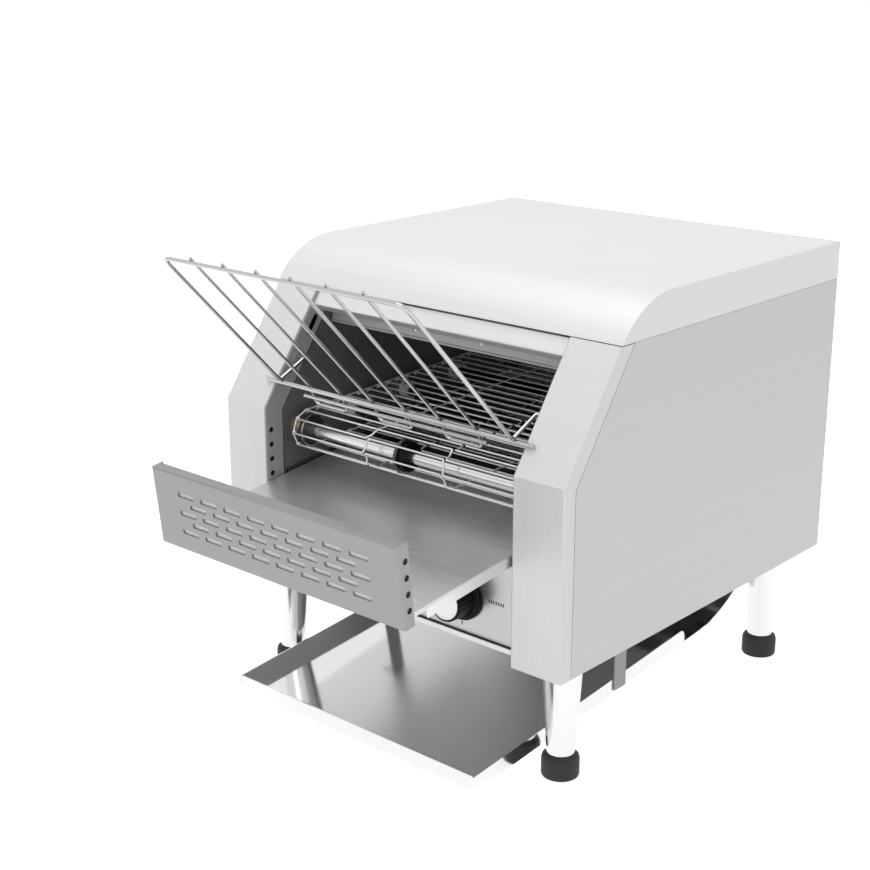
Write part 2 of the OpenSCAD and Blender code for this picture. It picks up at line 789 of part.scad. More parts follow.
module chain_band(r) {
    translate(motor_axis) circle(r, $fn = 96);
    translate(rear_axis) circle(r, $fn = 96);
    translate(motor_axis) rotate(-chain_lean) translate([-r, 0]) square([2 * r, chain_gap]);
}

module drive_chain() placed() {
    color(dark_steel) {
        for (s = [-1, 1]) side_extrude(chain_x + s * 2 - 0.5, chain_x + s * 2 + 0.5) difference() {
            chain_band(chain_r + plate_w / 2);
            chain_band(chain_r - plate_w / 2);
        }
        for (i = [0:2 * chain_run + chain_teeth - 1])
            bar(chain_x - 2, chain_x + 2, chain_point(i), roller_d);
    }
}

module gear_motor() placed() {
    color("gray") difference() {
        union() {
            translate([motor_x - gear_w, motor_axis[0] - motor_d / 2, motor_axis[1] - motor_d / 2])
                cube([gear_w, motor_d, motor_d]);
            bar(motor_x - gear_w - motor_len, motor_x - gear_w, motor_axis, motor_d - 4);
            bar(motor_x, motor_x + 5, motor_axis, motor_boss_d);
        }
        bar(motor_x - gear_w / 2, motor_x + 9, motor_axis, motor_shaft_d + 2 * run_fit);
    }
}

module motor_bracket() placed() {
    x1 = motor_x + slip;
    h = motor_d / 2 + 4;
    color(dark_steel) difference() {
        translate([x1, motor_axis[0] - h, leg_h + sheet_t + slip])
            cube([sheet_t, 2 * h, motor_axis[1] + h - leg_h - sheet_t - slip]);
        bar(x1 - 1, x1 + sheet_t + 1, motor_axis, motor_boss_d + 2 * slip);
    }
    color(dark_steel) translate([x1, motor_axis[0] - h, leg_h + sheet_t + slip])
        cube([8 - slip, 2 * h, sheet_t]);
}

// ---------- tray ----------

// Places a shape drawn with the floor's top at z = 0, starting at the tray front's back, going back.
module on_tray() {
    translate([0, tray_y, tray_z]) rotate([tray_slope, 0, 0]) children();
}

module tray_floor() placed() {
    color(steel) on_tray() {
        translate([-tray_w / 2 + fold_r, 0, -sheet_t]) cube([tray_w - 2 * fold_r, tray_len, sheet_t]);
        mirrored() {
            translate([-tray_w / 2, tray_len, 0]) rotate([90, 0, 0]) linear_extrude(tray_len)
                mirror([0, 1]) fold();
            translate([-tray_w / 2, lip_start, -tray_lip])
                cube([sheet_t, tray_len - lip_start, tray_lip - fold_r + eps]);
        }
        translate([-tray_w / 2 + fold_r, tray_len - sheet_t, -tray_lip])
            cube([tray_w - 2 * fold_r, sheet_t, tray_lip - sheet_t + eps]);
    }
}

lip_start = 14;
hole_depth = 7.4;
top_cut = 2;

module tray_front() placed() {
    y0 = -tray_front_t - slip;
    z0 = -tray_lip;
    z1 = tray_front_h - tray_lip;
    row_mid = (z0 + z1) / 2;
    color(steel) on_tray() difference() {
        translate([-tray_w / 2, y0, z0]) front_box(tray_w, tray_front_t, tray_front_h);
        // top flange ends short of the sides
        translate([sheet_t - tray_w / 2, -slip - top_cut, z1 - sheet_t - eps])
            cube([tray_w - 2 * sheet_t, top_cut + 1, sheet_t + 1]);
        for (r = [-2:2]) {
            n = slot_count - abs(r) % 2;
            for (i = [0:n - 1])
                translate([(i - (n - 1) / 2) * slot_pitch, -slip, row_mid + r * row_pitch])
                    rotate([90, 0, 0]) linear_extrude(2 * tray_front_t) rounded_slot(slot_len, slot_h, 1);
        }
        for (i = [0:3])
            bar(-tray_w, tray_w, [y0 + hole_depth, z1 - 14.1 - i * tray_hole_pitch], tray_hole_d);
    }
}

// Shallow box of folded sheet, open at the back, with round front edges.
module front_box(w, d, h) {
    difference() {
        intersection() {
            linear_extrude(h) {
                translate([0, fold_r]) square([w, d - fold_r]);
                translate([fold_r, 0]) square([w - 2 * fold_r, fold_r + eps]);
                for (x = [fold_r, w - fold_r]) translate([x, fold_r]) circle(fold_r);
            }
            translate([0, 0, 0]) rotate([90, 0, 90]) linear_extrude(w) {
                translate([fold_r, 0]) square([d - fold_r, h]);
                translate([0, fold_r]) square([fold_r + eps, h - 2 * fold_r]);
                for (z = [fold_r, h - fold_r]) translate([fold_r, z]) circle(fold_r);
            }
        }
        translate([sheet_t, sheet_t, sheet_t]) cube([w - 2 * sheet_t, d, h - 2 * sheet_t]);
    }
}

rail_web = 10;
rail_w = 10;

// Ledges on the chamber walls that carry the tray's sides, each with a tab that stops it tipping.
module tray_rails() placed() {
    rail_y0 = (chamber_y - tray_y) / cos(tray_slope) + 2;
    rail_len = tray_len + tray_travel - rail_y0;
    x1 = wall_x - slip;
    color(dark_steel) on_tray() mirrored() {
        translate([x1 - rail_w, rail_y0, -tray_lip - slip - sheet_t]) cube([rail_w, rail_len, sheet_t]);
        translate([x1 - sheet_t, rail_y0, -tray_lip - slip - sheet_t])
            cube([sheet_t, rail_len, tray_lip + 2 * slip + 2 * sheet_t]);
        translate([x1 - 6, tray_len - 18, slip]) cube([6, 14, sheet_t]);
    }
}

// ---------- slide under the cabinet ----------

module slide_profile() {
    // flat floor
    polygon([
        [-slide_out, slide_floor(-slide_out)],
        [arc_y, arc_z],
        [arc_y + sheet_t * sin(slide_slope), arc_z - sheet_t * cos(slide_slope)],
        [-slide_out, slide_floor(-slide_out) - sheet_t]]);
    // curved back
    intersection() {
        translate(arc_centre) difference() {
            circle(slide_r + sheet_t, $fn = 180);
            circle(slide_r, $fn = 180);
        }
        translate(arc_centre) rotate(-90 + slide_slope)
            polygon([[0, -eps], [2 * slide_r, -eps], [2 * slide_r, 2 * slide_r], [0, 2 * slide_r]]);
        translate([0, 0]) square([body_d, arc_centre[1] + eps]);
    }
    // upright part inside the rear panel
    translate([slide_back, arc_centre[1]]) square([sheet_t, slide_top - arc_centre[1]]);
    // stop at the front end
    translate([-slide_out, slide_floor(-slide_out) - sheet_t]) square([sheet_t, slide_stop + sheet_t]);
}
function slide_floor(y) = slide_z + y * slide_rise;

rim_end = arc_y - 20;

module lower_slide() placed() {
    x1 = slide_w / 2;
    color(steel) {
        side_extrude(-x1 + eps, x1 - eps) slide_profile();
        mirrored() side_extrude(x1 - sheet_t, x1) translate([0, slide_z]) rotate(slide_slope) {
            translate([-slide_out / cos(slide_slope), -sheet_t])
                square([(slide_out + rim_end) / cos(slide_slope) - slide_rim / 2, slide_rim + sheet_t]);
            translate([rim_end / cos(slide_slope) - slide_rim / 2, slide_rim / 2])
                intersection() {
                    circle(slide_rim / 2);
                    translate([-eps, -slide_rim]) square([slide_rim, 2 * slide_rim]);
                }
            translate([rim_end / cos(slide_slope) - slide_rim / 2 - eps, -sheet_t])
                square([slide_rim / 2, slide_rim / 2]);
        }
    }
}

hanger_y = 150;
hanger_w = 16;

module slide_hangers() placed() {
    x0 = slide_w / 2 + slip;
    z0 = slide_floor(hanger_y) + 1;
    color(steel) mirrored() difference() {
        union() {
            translate([x0, hanger_y - hanger_w / 2, z0]) cube([sheet_t, hanger_w, leg_h - slip - z0]);
            translate([x0, hanger_y - hanger_w / 2, leg_h - slip - sheet_t]) cube([14, hanger_w, sheet_t]);
        }
        translate([x0 + 8, hanger_y, leg_h - 10]) cylinder(d = 3.4, h = 20);
    }
}

module hanger_screws() placed() {
    x0 = slide_w / 2 + slip;
    color("silver") mirrored()
        translate([x0 + 8, hanger_y, leg_h - slip - sheet_t]) {
            mirror([0, 0, 1]) screw_head();
            translate([0, 0, -eps]) cylinder(d = 3, h = slip + sheet_t - 0.1);
        }
}

// ---------- rack ----------

// A bend is a little wider than its rod, and the rod runs on into it by this much.
bend_swell = 0.1;
bend_in = 0.3;

// A rod bent sharply at each of its inner points.
module bent_rod(points, d) {
    last = len(points) - 1;
    for (i = [0:last - 1]) rod(points[i], points[i + 1], d);
    for (i = [1:last - 1]) translate(points[i]) sphere(d / 2 + bend_swell);
}

// Frame: hinge pins, arms and side rods, joined by a top bar with round corners.
corner_r = rack_corner_r + frame_rod_d / 2;
side_end = top_p - corner_r * rack_u;

module rack_frame() placed() {
    color("lightgray") {
        mirrored() {
            bent_rod([at(wall_x + 3, hinge_p), at(rack_half, hinge_p), at(rack_half, corner_p),
                at(rack_half, side_end + bend_in * rack_u)], frame_rod_d);
            translate(at(rack_half - corner_r, side_end)) rotate([180 - rack_tilt, 0, 0])
                rotate_extrude(angle = 90) translate([corner_r, 0]) circle(frame_rod_d / 2 + bend_swell);
        }
        bar(corner_r - rack_half - bend_in, rack_half - corner_r + bend_in, top_p, frame_rod_d);
    }
}

// Three U-shaped bread wires over the frame's top bar and the crossbar, bent down below the crossbar.
module rack_wires() placed() {
    color("lightgray") for (k = [0:2]) {
        a = wire_x[2 * k];
        b = wire_x[2 * k + 1];
        bent_rod([at(a, wire_top), at(a, wire_bend), at(a, wire_end),
            at(b, wire_end), at(b, wire_bend), at(b, wire_top)], wire_d);
    }
}

module rack_crossbar() placed() {
    color("lightgray") bar(-cross_len / 2, cross_len / 2, cross_p, cross_d);
}

module rack_tie_bar() placed() {
    color("lightgray") bar(wire_x[0] - tie_over, wire_x[5] + tie_over, tie_p, tie_d);
}

// ---------- controls ----------

module knob(x) {
    color("black") difference() {
        union() {
            peg(x, knob_z, panel_y - slip - 4, panel_y - slip, knob_skirt_d);
            peg(x, knob_z, panel_y - knob_out, panel_y - slip - 4 + eps, knob_grip_d);
            translate([x - 3.5, panel_y - knob_out, knob_z - knob_grip_d / 2 - 1])
                cube([7, knob_out - 6, knob_grip_d + 2]);
        }
        peg(x, knob_z, panel_y - knob_out - 1, panel_y - knob_out + cap_t, cap_d);
        peg(x, knob_z, panel_y - knob_out / 2, panel_y, spindle_d);
    }
    color("silver") peg(x, knob_z, panel_y - knob_out / 2, panel_back + slip + 8, spindle_d);
}

module knob_face(x) {
    color("gainsboro") peg(x, knob_z, panel_y - knob_out, panel_y - knob_out + cap_t, cap_d);
}

module speed_knob() placed() knob(knob_x);
module speed_knob_face() placed() knob_face(knob_x);
module heat_knob() placed() knob(heat_x);
module heat_knob_face() placed() knob_face(heat_x);

// Body of a control behind the panel, with a socket that the knob's spindle turns in.
module control_body(x, w, d, h) {
    difference() {
        translate([x - w / 2, panel_back + slip, knob_z - h / 2]) cube([w, d, h]);
        peg(x, knob_z, panel_back, panel_back + d / 2, spindle_d + 2 * run_fit);
    }
}

module speed_regulator() placed() color("green") control_body(knob_x, regulator_w, regulator_d, regulator_h);
module heat_switch() placed() color("ivory") control_body(heat_x, switch_w, switch_d, switch_h);

module indicator_lens() placed() {
    color("orangered") {
        peg(lamp_x, knob_z, panel_y - 1.6, panel_y - slip, lamp_d + 4);
        peg(lamp_x, knob_z, panel_y - slip - eps, panel_back + 4, lamp_d - slip);
    }
}

module indicator_body() placed() {
    color("black") peg(lamp_x, knob_z, panel_back + 4, panel_back + 20, lamp_d + 3);
    color("black") difference() {
        peg(lamp_x, knob_z, panel_back + slip, panel_back + 4 + eps, lamp_d + 3);
        peg(lamp_x, knob_z, panel_back, panel_back + 4, lamp_d);
    }
}

// ---------- stand, inlet and fasteners ----------

module at_legs() {
    for (x = [-1, 1], y = [leg_in_y, body_d - leg_in_y])
        translate([x * (half_w - leg_in_x), y, 0]) children();
}

module legs() placed() {
    color(steel) at_legs() {
        translate([0, 0, foot_h])
            cylinder(d1 = leg_end_d, d2 = leg_top_d, h = leg_h - slip - 3 - foot_h, $fn = 64);
        translate([0, 0, leg_h - slip - 3 - eps]) cylinder(d = leg_top_d + 4, h = 3);
        translate([0, 0, leg_h - slip - 1]) cylinder(d = leg_stud_d, h = sheet_t + slip + 11);
        translate([0, 0, foot_h - 8]) cylinder(d = leg_stud_d, h = 9);
    }
}

module rubber_feet() placed() {
    color("black") at_legs() difference() {
        rotate_extrude() polygon([
            [0, 0], [foot_d / 2 - 1, 0], [foot_d / 2, 1],
            [foot_d / 2, foot_h - 4], [foot_d / 2 - 3, foot_h], [0, foot_h]]);
        translate([0, 0, foot_h - 8]) cylinder(d = leg_stud_d, h = 9);
    }
}

module leg_nuts() placed() {
    color("silver") at_legs() translate([0, 0, leg_h + sheet_t + slip / 2]) difference() {
        cylinder(d = leg_stud_d * 1.9, h = 6, $fn = 6);
        translate([0, 0, -1]) cylinder(d = leg_stud_d, h = 8);
    }
}

gland_x = -half_w + 28;
gland_z = leg_h + 34;
gland_thread_d = gland_d - 2.5;

module cord_gland() placed() {
    color("black") difference() {
        union() {
            peg(gland_x, gland_z, body_d + slip, body_d + 4, gland_d + 5);
            peg(gland_x, gland_z, body_d + 4 - eps, body_d + gland_out, gland_d - 1);
            peg(gland_x, gland_z, rear_in - 12, body_d + slip + eps, gland_thread_d);
        }
        peg(gland_x, gland_z, rear_in - 13, body_d + gland_out + 1, gland_bore_d);
    }
}

module gland_nut() placed() {
    color("black") difference() {
        translate([gland_x, rear_in - slip - 5, gland_z]) rotate([-90, 0, 0])
            cylinder(d = gland_d + 5, h = 5, $fn = 6);
        peg(gland_x, gland_z, rear_in - slip - 6, rear_in, gland_thread_d);
    }
}

terminal_w = 22;

module terminal_block() placed() {
    z0 = leg_h + sheet_t + slip / 2;
    x0 = terminal_w / 2 - half_w + 2;
    color("ivory") difference() {
        translate([x0, body_d / 2 - 24, z0]) cube([terminal_w, 48, 18]);
        for (i = [0:2])
            translate([x0 + terminal_w / 2, body_d / 2 - 15 + i * 15, z0 + 8]) cylinder(d = 5, h = 11);
    }
}

module guard_screws() placed() {
    color("silver") for (x = [-guard_screw_x, guard_screw_x]) translate([x, guard_y, guard_screw_z]) {
        rotate([90, 0, 0]) screw_head();
        rotate([-90, 0, 0]) translate([0, 0, -eps]) cylinder(d = 3, h = sheet_t);
    }
}

module rear_screws() placed() {
    color("silver") mirrored() for (z = [leg_h + 70, (leg_h + shoulder_z) / 2 + 10, shoulder_z - 14])
        translate([half_w - 16, body_d, z]) rotate([-90, 0, 0]) screw_head();
}

base_plate();
left_side_panel();
right_side_panel();
left_front_pillar();
right_front_pillar();
hood();
front_lintel();
control_panel();
rear_panel();
left_chamber_wall();
right_chamber_wall();
heat_guard();
upper_reflector();
compartment_cover();
tray_rails();
upper_heater_tubes();
lower_heater_tubes();
ceramic_ends();
shaft_bushes();
front_shaft();
front_sprockets();
centre_roller();
rear_shaft();
rear_sprockets();
belt_rungs();
belt_links();
drive_sprocket();
motor_sprocket();
motor_shaft();
drive_chain();
gear_motor();
motor_bracket();
tray_floor();
tray_front();
lower_slide();
slide_hangers();
rack_frame();
rack_wires();
rack_crossbar();
rack_tie_bar();
speed_knob();
speed_knob_face();
heat_knob();
heat_knob_face();
speed_regulator();
heat_switch();
indicator_lens();
indicator_body();
legs();
rubber_feet();
leg_nuts();
cord_gland();
gland_nut();
terminal_block();
guard_screws();
rear_screws();
hanger_screws();
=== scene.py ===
"""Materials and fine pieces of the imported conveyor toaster."""
import json
import math

import bmesh
import bpy
from bpy.props import FloatProperty, FloatVectorProperty, IntProperty, PointerProperty
from mathutils import Matrix, Vector


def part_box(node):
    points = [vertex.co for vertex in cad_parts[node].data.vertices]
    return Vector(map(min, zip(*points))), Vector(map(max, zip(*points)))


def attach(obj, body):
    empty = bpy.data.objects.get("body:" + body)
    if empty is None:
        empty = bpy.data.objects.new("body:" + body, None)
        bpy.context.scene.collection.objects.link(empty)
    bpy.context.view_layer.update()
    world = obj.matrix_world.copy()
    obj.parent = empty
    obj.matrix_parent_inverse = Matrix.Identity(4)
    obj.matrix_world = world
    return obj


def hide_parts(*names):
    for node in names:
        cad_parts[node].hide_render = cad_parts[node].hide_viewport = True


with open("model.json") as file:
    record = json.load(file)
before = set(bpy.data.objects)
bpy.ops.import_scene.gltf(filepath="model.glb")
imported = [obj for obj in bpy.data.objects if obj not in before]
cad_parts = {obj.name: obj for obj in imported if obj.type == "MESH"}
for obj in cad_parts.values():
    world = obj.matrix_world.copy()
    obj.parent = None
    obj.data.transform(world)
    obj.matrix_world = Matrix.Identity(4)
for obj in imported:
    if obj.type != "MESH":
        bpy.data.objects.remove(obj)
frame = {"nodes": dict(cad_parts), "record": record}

bl_info = {
    "name": "Conveyor Toaster",
    "version": (1, 0, 0),
    "blender": (4, 5, 0),
    "location": "3D Viewport > Sidebar > Toaster",
    "description": "Builds the finish and the fine pieces of a countertop conveyor toaster",
    "category": "Add Mesh",
}

MM = 0.001
ORIGIN = Vector((0, 0, 0))
PILLAR_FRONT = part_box("right_front_pillar")[0].y
BUMP_DEPTH = 0.0002


# ---------- settings ----------

def length_mm(name, about, default, low=0.1, high=400):
    """A size property in millimetres."""
    about += ", in millimetres"
    return FloatProperty(name=name, description=about, default=default, min=low, max=high)


def distance(name, about, default):
    """A distance property in metres."""
    return FloatProperty(name=name, description=about, default=default, unit="LENGTH")


def angle(name, about, degrees):
    """An angle property, given in degrees."""
    return FloatProperty(name=name, description=about, default=math.radians(degrees), subtype="ANGLE")


def amount(name, about, default, high=1):
    """A share, a power or another number from zero up."""
    return FloatProperty(name=name, description=about, default=default, min=0, max=high)


def number(name, about, default, low, high):
    """A property that counts things."""
    return IntProperty(name=name, description=about, default=default, min=low, max=high)


def color(name, about, default):
    """A linear colour property."""
    return FloatVectorProperty(name=name, description=about, default=default, subtype="COLOR", min=0, max=1)


class ToasterStageSettings(bpy.types.PropertyGroup):
    camera_side: distance("Camera side", "Camera's distance to the right of the middle", 0.8379)
    camera_front: distance("Camera front", "Camera's distance in front of the pillars", 0.8780)
    camera_height: distance("Camera height", "Camera's height over the floor", 0.6426)
    camera_dip: angle("Camera dip", "Downward tilt of the view", 17.393)
    camera_turn: angle("Camera turn", "Turn of the view to the left", 41.612)
    focal_length: length_mm("Focal length", "Focal length on a 36 mm frame", 66.108, 10, 200)
    floor_color: color("Floor", "Colour of the floor", (0.8, 0.8, 0.8))
    floor_glow: amount("Floor glow", "Share of white that the floor shows in its own shadow", 0.78)
    room_light: amount("Room light", "Strength of the even light from all sides", 0.55)
    key_power: amount("Key light", "Power of the large lamp over the hood, in watts", 8.0, 100)
    front_power: amount("Front light", "Power of the lamp before the front, in watts", 2.4, 100)


class ToasterFinishSettings(bpy.types.PropertyGroup):
    sheet_color: color("Sheet", "Brushed stainless sheet", (0.86, 0.86, 0.855))
    # The sides and the back are the cabinet's stainless sheet painted darker: painted shade of faces turned
    # from the lamps.
    shaded_side_color: color("Side sheet", "Brushed stainless sheet of the sides and the back", (0.6, 0.6, 0.595))
    # The tray's front is the cabinet's stainless sheet painted darker: painted shade.
    shaded_tray_color: color("Tray sheet", "Duller brushed sheet of the tray", (0.33, 0.33, 0.326))
    floor_sheet_color: color("Tray floor sheet", "Brushed sheet of the tray's floor", (0.78, 0.78, 0.775))
    # The recessed control panel is the cabinet's sheet painted darker: painted shadow of the tray over it.
    shaded_panel_color: color("Control panel", "Brushed sheet of the recessed control panel", (0.5, 0.5, 0.495))
    guard_color: color("Guard sheet", "Plain sheet near the heaters", (0.5, 0.5, 0.495))
    bright_color: color("Bright sheet", "Bright annealed stainless sheet", (0.8, 0.8, 0.8))
    inner_color: color("Inner sheet", "Heat-dulled sheet of the chamber's walls", (0.2, 0.2, 0.2))
    dark_color: color("Dark sheet", "Heat-darkened inner sheet", (0.1, 0.1, 0.1))
    wire_color: color("Belt wire", "Bright drawn wire of the belt", (0.95, 0.95, 0.96))
    rod_color: color("Rack rod", "Chromed rods of the rack", (0.52, 0.52, 0.53))
    # The wheels' steel is painted near black: painted shade inside the chamber. Their lit edges are painted
    # on as bright rims.
    shaded_wheel_color: color("Wheel", "Dark steel of the belt's wheels", (0.1, 0.1, 0.105))
    turned_color: color("Turned steel", "Bright turned steel", (0.78, 0.78, 0.79))
    bronze_color: color("Bronze", "Sintered bronze, darkened by heat", (0.14, 0.125, 0.1))
    quartz_color: color("Quartz", "Quartz glass, smoked by use", (0.45, 0.43, 0.42))
    ceramic_color: color("Ceramic", "Steatite, browned by use", (0.2, 0.19, 0.175))
    black_color: color("Black plastic", "Moulded black plastic", (0.006, 0.006, 0.006))
    disc_color: color("Knob disc", "Silver disc of a knob", (0.85, 0.85, 0.85))
    housing_color: color("Housing", "Moulded switch housing", (0.75, 0.73, 0.66))
    lamp_color: color("Lamp", "Translucent lens", (0.85, 0.2, 0.05))
    motor_color: color("Motor", "Painted gear motor", (0.35, 0.36, 0.38))
    rubber_color: color("Rubber", "Black rubber of the feet", (0.03, 0.03, 0.03))
    liner_color: color("Liner sheet", "Pale sheet behind the slots of the tray's front", (0.9, 0.9, 0.895))
    coil_color: color("Coil", "Resistance wire in the tubes", (0.08, 0.07, 0.065))
    mark_color: color("Dial marks", "Ink of the marks round the knobs", (0.03, 0.03, 0.03))
    # painted shade: share of its colour that a pillar keeps inside the opening, where it faces the dark
    # chamber
    painted_opening_shade: amount("Opening shade", "Share of its tone that a pillar keeps inside the opening", 0.5)
    grain: amount("Grain", "Brushed lines in a metre across the grain", 600, 6000)


class ToasterBeltSettings(bpy.types.PropertyGroup):
    pitch: length_mm("Pitch", "Distance between two rungs", 12.7)
    wire: length_mm("Wire", "Diameter of the belt wire", 1.6)
    run_pitches: number("Run", "Rungs between the two shafts", 22, 10, 40)
    turn_pitches: number("Turn", "Rungs round each shaft", 4, 3, 6)
    tilt: angle("Tilt", "Upward tilt towards the back", 2.5)
    joint_step: length_mm("Step", "Width over which a strand steps to the next rung", 3.0)
    joint_dip: length_mm("Dip", "Depth by which a step passes under its neighbour", 1.1)
    bend: length_mm("Bend", "Bend radius of a strand, to the wire's middle", 0.9)


class ToasterRackSettings(bpy.types.PropertyGroup):
    frame_rod: length_mm("Frame rod", "Diameter of the frame rod", 3.4)
    bread_wire: length_mm("Bread wire", "Diameter of a bread wire", 2.8)
    crossbar: length_mm("Crossbar", "Diameter of the crossbar", 4.0)
    tie_bar: length_mm("Tie bar", "Diameter of the bar that ties the ends of the bread wires", 3.1)
    weld: length_mm("Weld", "Depth by which the bread wires sink into the rods under them", 0.25)
    pin_corner: length_mm("Pin corner", "Bend radius of the frame rod at its pins, to its middle", 3.0)
    corner: length_mm("Corner", "Bend radius of the frame's corners, to the rod's middle", 7.7)
    wire_corner: length_mm("Wire corner", "Bend radius of a bread wire, to its middle", 4.5)
    wire_leg: length_mm("Wire leg", "Length of a bread wire below its bend", 16.5)
    past_bar: length_mm("Past bar", "Length of a bread wire past the top bar", 2.0)
    past_cross: length_mm("Past crossbar", "Length of a bread wire from the crossbar to its bend", 2.5)
    leg_bend: angle("Leg bend", "Downward bend of the bread wires below the crossbar", 22)


class ToasterStandSettings(bpy.types.PropertyGroup):
    ankle: length_mm("Ankle", "Diameter of a leg over its foot", 23.0)
    flange_step: length_mm("Flange step", "Distance by which a leg's flange stands out", 2.0)
    seam: length_mm("Seam", "Gap between a leg's flange and the base", 0.3)
    stud: length_mm("Stud", "Diameter of the studs of a leg", 8.0)
    stud_sunk: length_mm("Stud sunk", "Depth of the lower stud in the foot", 8.0)
    stud_reach: length_mm("Stud reach", "Height of the upper stud over the flange", 12.0)


class ToasterFittingSettings(bpy.types.PropertyGroup):
    screw_head: length_mm("Screw head", "Diameter of a screw's head", 6.0)
    screw_rise: length_mm("Screw rise", "Height of a screw's head", 2.2)
    screw_shank: length_mm("Screw shank", "Diameter of a screw's shank", 3.0)
    cross: length_mm("Cross", "Width of the cross in a head", 3.4)
    cross_arm: length_mm("Cross arm", "Width of an arm of the cross", 0.8)
    cross_depth: length_mm("Cross depth", "Depth of the cross in a head", 0.9)
    gland_thread: length_mm("Gland thread", "Diameter of the gland's thread", 13.5)
    gland_cap: length_mm("Gland cap", "Diameter of the gland's ribbed cap", 15.0)
    gland_bore: length_mm("Gland bore", "Diameter of the gland's bore", 8.0)
    gland_ribs: number("Gland ribs", "Ribs round the gland's cap", 12, 4, 40)
    rib_depth: length_mm("Rib depth", "Depth of the hollows between the gland's ribs", 0.8)
    wheel: length_mm("Wheel", "Thickness of a belt wheel", 3.0)
    # The bright rim is a painted highlight of a dark wheel's edge.
    highlight_rim: length_mm("Wheel rim", "Width of a belt wheel's bright rim", 1.2)
    highlight_inset: length_mm("Rim inset", "Distance of the bright rim from a wheel's edge", 0.6)


class ToasterKnobSettings(bpy.types.PropertyGroup):
    grip: length_mm("Grip", "Diameter of a knob's grip", 33.0)
    spindle: length_mm("Spindle", "Diameter of a knob's spindle", 6.0)
    disc_thickness: length_mm("Disc", "Thickness of a knob's disc", 1.2)
    flutes: number("Flutes", "Grip flutes round a knob", 24, 6, 60)
    flute_depth: length_mm("Flute depth", "Depth of a grip flute", 0.5)
    mark_radius: length_mm("Mark radius", "Distance of the dial marks from a knob's middle", 24.5)
    marks: number("Marks", "Marks printed evenly round a knob, the first above it", 2, 1, 12)
    bars: number("Level bars", "Bars of the printed level scale", 7, 2, 12)
    bar_step: length_mm("Bar step", "Distance between two level bars", 2.4)
    bar_offset: length_mm("Bar offset", "Distance of the first level bar from the speed knob's middle", 28.0)
    bar_rise: length_mm("Bar rise", "Height of the level bars over the speed knob's middle", 2.0)
    mark_width: length_mm("Mark width", "Width of a mark", 1.3)
    mark_length: length_mm("Mark length", "Length of a mark", 3.0)


class ToasterTraySettings(bpy.types.PropertyGroup):
    sheet: length_mm("Sheet", "Thickness of the sheet of the tray's front", 1.2)
    lining: length_mm("Lining", "Thickness of the sheets inside the front", 0.8)
    gap: length_mm("Gap", "Clearance between the front and the sheets inside it", 0.4)
    hem: length_mm("Hem", "Depth of the turned edges of the liner", 4.0)
    # The braces are near-black sheet that paints shade into the side holes.
    brace: length_mm("Brace", "Width of a corner brace behind the liner", 8.0)


class ToasterHeaterSettings(bpy.types.PropertyGroup):
    coil: length_mm("Coil", "Diameter of the wire coil in a tube", 7.0)
    coil_pitch: length_mm("Coil pitch", "Distance between turns", 2.6)
    coil_wire: length_mm("Coil wire", "Diameter of the resistance wire", 0.8)
    end: length_mm("End", "Length of a tube's ends without a coil", 8.0)


SETTINGS = {
    "toaster_stage": ToasterStageSettings,
    "toaster_finish": ToasterFinishSettings,
    "toaster_belt": ToasterBeltSettings,
    "toaster_rack": ToasterRackSettings,
    "toaster_tray": ToasterTraySettings,
    "toaster_stand": ToasterStandSettings,
    "toaster_fittings": ToasterFittingSettings,
    "toaster_knobs": ToasterKnobSettings,
    "toaster_heaters": ToasterHeaterSettings,
}


# ---------- node trees ----------

def new_node(tree, kind, **values):
    """Adds a node; a value goes to its input of that name, or else to its own property of that name."""
    node = tree.nodes.new(kind)
    for key, value in values.items():
        label = key.replace("_", " ").title()
        if label not in node.inputs:
            setattr(node, key, value)
        elif isinstance(value, bpy.types.NodeSocket):
            tree.links.new(value, node.inputs[label])
        else:
            node.inputs[label].default_value = value
    return node


def math_node(tree, operation, *values):
    """A maths node, whose inputs are numbers or sockets."""
    node = tree.nodes.new("ShaderNodeMath")
    node.operation = operation
    for socket, value in zip(node.inputs, values):
        if isinstance(value, bpy.types.NodeSocket):
            tree.links.new(value, socket)
        else:
            socket.default_value = value
    return node.outputs[0]


def group_with(name, inputs, outputs):
    """An empty shader node group with these sockets, and its input and output nodes."""
    group = bpy.data.node_groups.new(name, "ShaderNodeTree")
    for label, kind, default in inputs:
        socket = group.interface.new_socket(label, in_out="INPUT", socket_type=kind)
        if default is not None:
            socket.default_value = default
    for label, kind in outputs:
        group.interface.new_socket(label, in_out="OUTPUT", socket_type=kind)
    return group, group.nodes.new("NodeGroupInput"), group.nodes.new("NodeGroupOutput")


def scaled(tree, tone, factor):
    """A colour times a factor."""
    return new_node(tree, "ShaderNodeVectorMath", operation="SCALE", vector=tone, scale=factor).outputs[0]


def surface_group(name, extra, tone, contrast, roughness, spread):
    """An empty group that is to give a colour, a roughness and a height."""
    return group_with(name, [
        ("Vector", "NodeSocketVector", None), extra, ("Color", "NodeSocketColor", (*tone, 1.0)),
        ("Contrast", "NodeSocketFloat", contrast), ("Roughness", "NodeSocketFloat", roughness),
        ("Spread", "NodeSocketFloat", spread),
    ], [("Color", "NodeSocketColor"), ("Roughness", "NodeSocketFloat"), ("Height", "NodeSocketFloat")])


def vary_surface(group, entry, result, change, height):
    """Lets colour and roughness follow a change about zero."""
    shade = math_node(group, "MULTIPLY_ADD", change, entry.outputs["Contrast"], 1.0)
    rough = math_node(group, "MULTIPLY_ADD", change, entry.outputs["Spread"], entry.outputs["Roughness"])
    group.links.new(scaled(group, entry.outputs["Color"], shade), result.inputs["Color"])
    group.links.new(rough, result.inputs["Roughness"])
    group.links.new(height, result.inputs["Height"])
    return group


